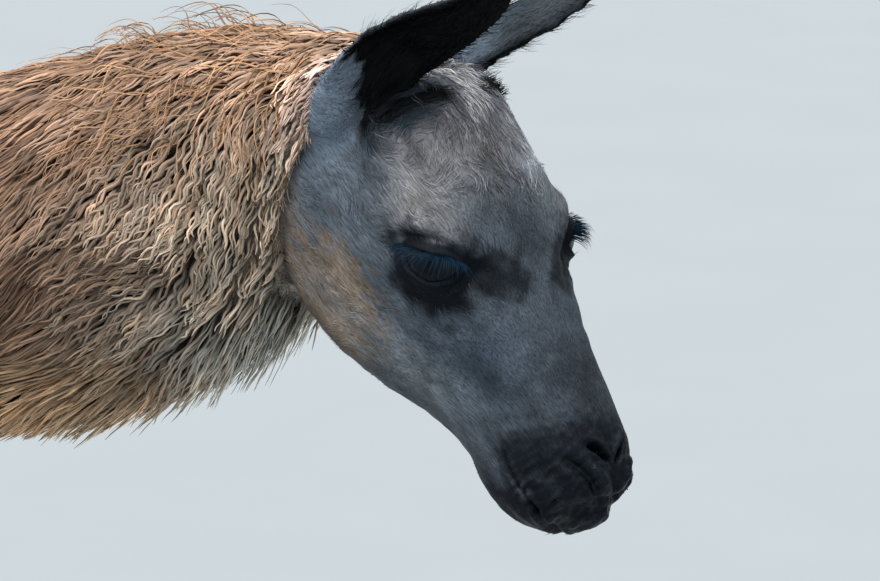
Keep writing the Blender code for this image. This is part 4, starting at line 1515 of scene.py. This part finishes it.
def fuzz_colour(points, normals):
    shaded = 1 - 0.5 * ease(-0.02, -0.08, outward_place(points)[:, 2])
    return colour_behind(points, normals) * (shaded * chance.uniform(0.7, 1.3, len(points)))[:, None]


def sparse_on_neck(points, normals):
    return neck_front(points, normals) * (0.08 + 0.22 * on_crest(points) + 0.6 * near_poll(points))


def stray_colour(points, normals):
    return np.broadcast_to(STRAY_TAN, points.shape)


def behind_neck_base(points):
    return ~((along_neck(points) > 0.05) & (points[:, 0] > 0.06) & (points[:, 2] > 0.66))


def on_shoulder(points, normals):
    return (along_neck(points) <= NECK_LOCKS_END) & ~behind_neck_base(points)


def on_trunk(points, normals):
    back = (points[:, 0] > TAIL_ROOT) & (points[:, 2] > 0.50) & (past_border(points) < -0.2)
    return back & behind_neck_base(points)


def on_tail(points, normals):
    return (points[:, 0] <= TAIL_ROOT) & (points[:, 2] > 0.77)


def on_thigh(points, normals):
    return (points[:, 2] <= 0.52) & (points[:, 2] > 0.31)


def grow_neck(outline, hide, wool, guard):
    """Crimped locks on the front of the neck, fuzz along their edge, and long stray hairs over them."""
    grow_locks("neck_fleece", outline, 4.8 * MM, neck_front, neck_unwrap, wool,
               length=neck_length, steps=16, width=lambda p: (2.3 + short_at_edge(p)) * MM, crimp=neck_crimp,
               wave=lambda p: 0.0155 + 0.012 * ease(0.60, 0.50, along_neck(p)), lift=neck_lift, clump=0.5,
               hang=throat_fall, colour=colour_behind, sink=lambda p: (3.5 + 4 * short_at_edge(p)) * MM)
    grow_blades("collar_fuzz", hide, 1.9 * MM, along_collar, neck_unwrap, guard,
                fleece_heading, length=9 * MM, width=0.7 * MM, rise=0.45, steps=4, bend=0.30,
                colour=fuzz_colour)
    grow_locks("stray_hairs", outline, 9 * MM, sparse_on_neck, neck_unwrap, wool,
               length=60 * MM, steps=18, width=lambda p: (0.9 + 0.7 * near_poll(p)) * MM,
               crimp=lambda p: (1.2 + 4 * near_poll(p)) * MM, wave=34 * MM,
               lift=lambda p: (2 + (8 * on_crest(p) + 9 * near_poll(p)) * short_at_edge(p)) * MM,
               clump=0.35, colour=stray_colour)


def grow_body(outline, wool):
    """Broader, looser locks on the shoulders, the trunk and the tail, shortening down the legs."""
    grow_locks("shoulder_fleece", outline, 8.5 * MM, on_shoulder, neck_unwrap, wool,
               length=75 * MM, steps=12, width=6 * MM, crimp=2.2 * MM, wave=26 * MM, lift=6 * MM)
    grow_locks("body_fleece", outline, 13 * MM, on_trunk, body_unwrap, wool,
               length=95 * MM, steps=9, width=9.5 * MM, crimp=3.2 * MM, wave=40 * MM, lift=9 * MM,
               sink=9 * MM)
    grow_locks("tail_fleece", outline, 9 * MM, on_tail, tail_unwrap, wool,
               length=80 * MM, steps=10, width=7 * MM, crimp=2.4 * MM, wave=32 * MM, lift=5 * MM)
    grow_locks("leg_wool", outline, 9 * MM, on_thigh, leg_unwrap, wool,
               length=lambda p: 0.022 + 0.040 * ease(0.33, 0.48, p[:, 2]), steps=8, width=6 * MM,
               crimp=1.5 * MM, wave=28 * MM, lift=lambda p: (1 + 3 * ease(0.36, 0.5, p[:, 2])) * MM,
               sink=4 * MM)


# ---------------------------------------------------------------- the short hair of the legs and the head


def on_shank(points, normals):
    return (points[:, 2] <= 0.37) * (points[:, 2] > 0.004) * (normals[:, 2] > -0.8)


def on_face(points, normals):
    """1 on the short-haired head, away from the eye opening, the nostrils and the mouth."""
    place = outward_place(points)
    angles, far = eye_angles(place)
    gap = np.full(len(place), 90.0)
    near = far < 0.045
    gap[near], _ = from_outline(angles[near], lid_outline())
    mouth = off_line(place, MOUTH_SIDE + MOUTH_FRONT[2:], 20)
    slit = off_line(place, NOSTRIL, 10)
    clear = (ahead_of_collar(place) > 0.0) & (gap > 4) & (mouth > 3.2 * MM) & (slit > 4.0 * MM)
    return clear * (1 - on_ear(place)) * (1 - 0.55 * ease(0.235, 0.265, place[:, 0]))


def on_forehead(points, normals):
    place = outward_place(points)
    s, l, u = place.T
    return (ease(0.125, 0.055, s) * ease(-0.03, -0.01, s) * ease(0.037, 0.022, l) * ease(0.020, 0.040, u)
            * (1 - on_ear(place)))


def forelock_colour(points, normals):
    """Pale streaks between dark ones, lighter in the middle, fading into the coat's colour lower down."""
    place = outward_place(points)
    streak = ease(-0.4, 0.5, ripple(head_place(points) * [0.35, 1.6, 1.0], 0.016, 62))
    shade = mix(FORELOCK_DARK, FORELOCK_PALE, streak * chance.uniform(0.6, 1.0, len(points)))
    shade = shade * (1 + 0.4 * ease(0.030, 0.010, place[:, 1]))[:, None]
    return mix(shade, coat_colour(points, normals) * 0.85, ease(0.045, 0.095, place[:, 0]))


def on_back_of_ear(points, normals):
    return on_ear(outward_place(points)) > 0.5


def clear_of_forehead(points):
    place = outward_place(points)
    return (ear_height(place) > 0.080) | (place[:, 1] > 0.040)


def on_ear_rim(points, normals):
    bowl, zone = ear_bowl(points, normals)
    high = ear_height(outward_place(points)) > 0.055
    return (zone > 0.5) * (bowl > 0.05) * (bowl < 0.98) * high * clear_of_forehead(points)


def in_ear(points, normals):
    return (ear_bowl(points, normals)[0] > 0.9) * clear_of_forehead(points)


def before_ear(points, normals):
    place = outward_place(points)
    return ease(0.015, 0.008, before_ear_mouth(place)) * ease(0.040, 0.045, place[:, 1])


def ear_black(points, normals):
    return np.broadcast_to(EAR_BLACK, points.shape) * chance.uniform(0.6, 3.0, len(points))[:, None]


def ear_dark(points, normals):
    return np.broadcast_to(EAR_TUFT_DARK, points.shape) * chance.uniform(0.5, 2.2, len(points))[:, None]


def grow_short_hair(hide, guard):
    """Flat hair on the shanks and the face, and the longer forelock between the ears."""
    grow_blades("leg_hair", hide, 6 * MM, on_shank, leg_unwrap, guard, leg_heading,
                length=lambda p: (7 + 6 * ease(0.06, 0.2, p[:, 2])) * MM, width=1.5 * MM, rise=0.22)
    grow_blades("face_hair", hide, 3 * MM, on_face, head_unwrap, guard, face_heading,
                length=lambda p: (4 + 4.5 * ease(0.22, 0.08, outward_place(p)[:, 0])) * MM, width=0.75 * MM,
                rise=0.20, bend=0.10)
    grow_locks("forelock", hide, 2.3 * MM, on_forehead, head_unwrap, guard,
               length=lambda p: (12 + 10 * ease(0.085, 0.04, head_place(p)[:, 0])) * MM, steps=8,
               width=0.7 * MM, crimp=0.9 * MM, wave=13 * MM,
               lift=lambda p: (1.5 + 6 * ease(0.05, 0.0, head_place(p)[:, 0])) * MM,
               clump=0.45, sink=0.4 * MM, heading=forelock_heading, colour=forelock_colour)


def grow_ear_hair(hide, guard):
    """Dark tufts before the ears, a black fringe and lining, and flat hair on their backs."""
    grow_blades("ear_front_tufts", hide, 1.9 * MM, before_ear, ear_unwrap, guard, out_of_ear,
                length=lambda p: (5 + 2 * ease(0.038, 0.050, outward_place(p)[:, 2])) * MM, width=0.6 * MM,
                rise=0.16, steps=4, bend=0.25, colour=ear_dark)
    grow_blades("ear_fringe", hide, 1.8 * MM, on_ear_rim, ear_unwrap, guard, ear_heading,
                length=11 * MM, width=0.5 * MM, rise=0.9, steps=4, bend=0.15, colour=ear_black)
    grow_blades("ear_lining", hide, 2.8 * MM, in_ear, ear_unwrap, guard, ear_heading,
                length=12 * MM, width=0.6 * MM, rise=0.5, steps=4, bend=0.2, colour=ear_black)
    grow_blades("ear_hair", hide, 3.2 * MM, on_back_of_ear, ear_unwrap, guard, ear_heading,
                length=6.5 * MM, width=0.8 * MM, rise=0.28, bend=0.10)


def build_coat(skin, outline):
    hide = Surface(skin.data)
    wool, guard = wool_material(), guard_hair_material()
    grow_neck(outline, hide, wool, guard)
    grow_body(outline, wool)
    grow_short_hair(hide, guard)
    grow_ear_hair(hide, guard)


def paint_skin(skin):
    """Writes the markings, a painted shade under the fleece, and the lie of the hair into the skin's mesh."""
    mesh = skin.data
    points, normals = points_of(mesh), normals_of(mesh)
    place = outward_place(points)
    # painted shade: the skin under the fleece is darkened so that the gaps between the locks look deep
    shade_under_fleece = ease(-0.002, -0.012, ahead_of_collar(place)) * ease(0.34, 0.40, points[:, 2])
    tint = np.ones((len(points), 4), np.float32)
    tint[:, :3] = coat_colour(points, normals) * (1 - 0.72 * shade_under_fleece)[:, None]
    store(mesh, "coat_colour", tint)
    store(mesh, "head_place", head_place(points))
    on_leg, bare_nose = ease(0.5, 0.4, points[:, 2]), ease(0.245, 0.272, place[:, 0])
    store(mesh, "lie", np.stack([on_ear(place), on_leg, bare_nose], 1))


# ---------------------------------------------------------------- camera, light and floor

VIEW_TURN, VIEW_RISE, VIEW_DISTANCE = math.radians(27), math.radians(12), 2.8
VIEW_WIDTH = 0.5207
FRAME_MIDDLE_BEHIND, FRAME_MIDDLE_ABOVE = 0.0367, 0.0044  # from a place 0.15 m ahead of the poll
SENSOR = 36
FLOOR_REACH = 400
SKY_STRENGTH, LAMP_STRENGTH = 0.70, 5.2


def build_camera():
    """From the animal's right, a little ahead of it and above, framed on the head and the end of the neck."""
    back = np.array([math.sin(VIEW_TURN) * math.cos(VIEW_RISE), -math.cos(VIEW_TURN) * math.cos(VIEW_RISE),
                     math.sin(VIEW_RISE)])
    right = np.array([math.cos(VIEW_TURN), math.sin(VIEW_TURN), 0])
    up = np.cross(back, right)
    aim = POLL + 0.15 * FORWARD - FRAME_MIDDLE_BEHIND * right + FRAME_MIDDLE_ABOVE * up
    camera = bpy.data.objects.new("camera", bpy.data.cameras.new("camera"))
    camera.data.sensor_width = SENSOR
    camera.data.lens = SENSOR * VIEW_DISTANCE / VIEW_WIDTH
    camera.location = aim + back * VIEW_DISTANCE
    camera.rotation_mode = "QUATERNION"
    camera.rotation_quaternion = Vector(-back).to_track_quat("-Z", "Y")
    bpy.context.scene.collection.objects.link(camera)
    bpy.context.scene.camera = camera


def build_studio():
    """A floor so wide that its edge never shows, an even sky and one very soft light from above."""
    corners = [(-1, -1, 0), (1, -1, 0), (1, 1, 0), (-1, 1, 0)]
    floor = mesh_from("floor", np.array(corners) * FLOOR_REACH, [[0, 1, 2, 3]])
    floor.data.materials.append(floor_material())
    lamp = bpy.data.lights.new("soft_light", "SUN")
    lamp.energy = LAMP_STRENGTH
    lamp.angle = math.radians(55)
    lamp.color = (0.96, 0.98, 1.0)
    holder = bpy.data.objects.new("soft_light", lamp)
    holder.rotation_euler = (math.radians(24), math.radians(-8), 0)
    bpy.context.scene.collection.objects.link(holder)
    world = bpy.data.worlds.new("studio_air")
    world.use_nodes = True
    air = world.node_tree.nodes["Background"]
    air.inputs["Color"].default_value = (0.86, 0.93, 1.0, 1)
    air.inputs["Strength"].default_value = SKY_STRENGTH
    bpy.context.scene.world = world
    bpy.context.scene.view_settings.view_transform = "Standard"


# ---------------------------------------------------------------- the whole

build_camera()
build_studio()
skin, outline = build_skin()
paint_skin(skin)
skin.data.materials.append(hide_material())
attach(skin, "root")
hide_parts(*FLESH)
wet = eye_material()
for side in ("left", "right"):
    build_eye(side, wet)
build_lashes(lash_material())
horn = horn_material()
for node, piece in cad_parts.items():
    if "_nail_" in node:
        piece.data.materials.clear()
        piece.data.materials.append(horn)
build_coat(skin, outline)
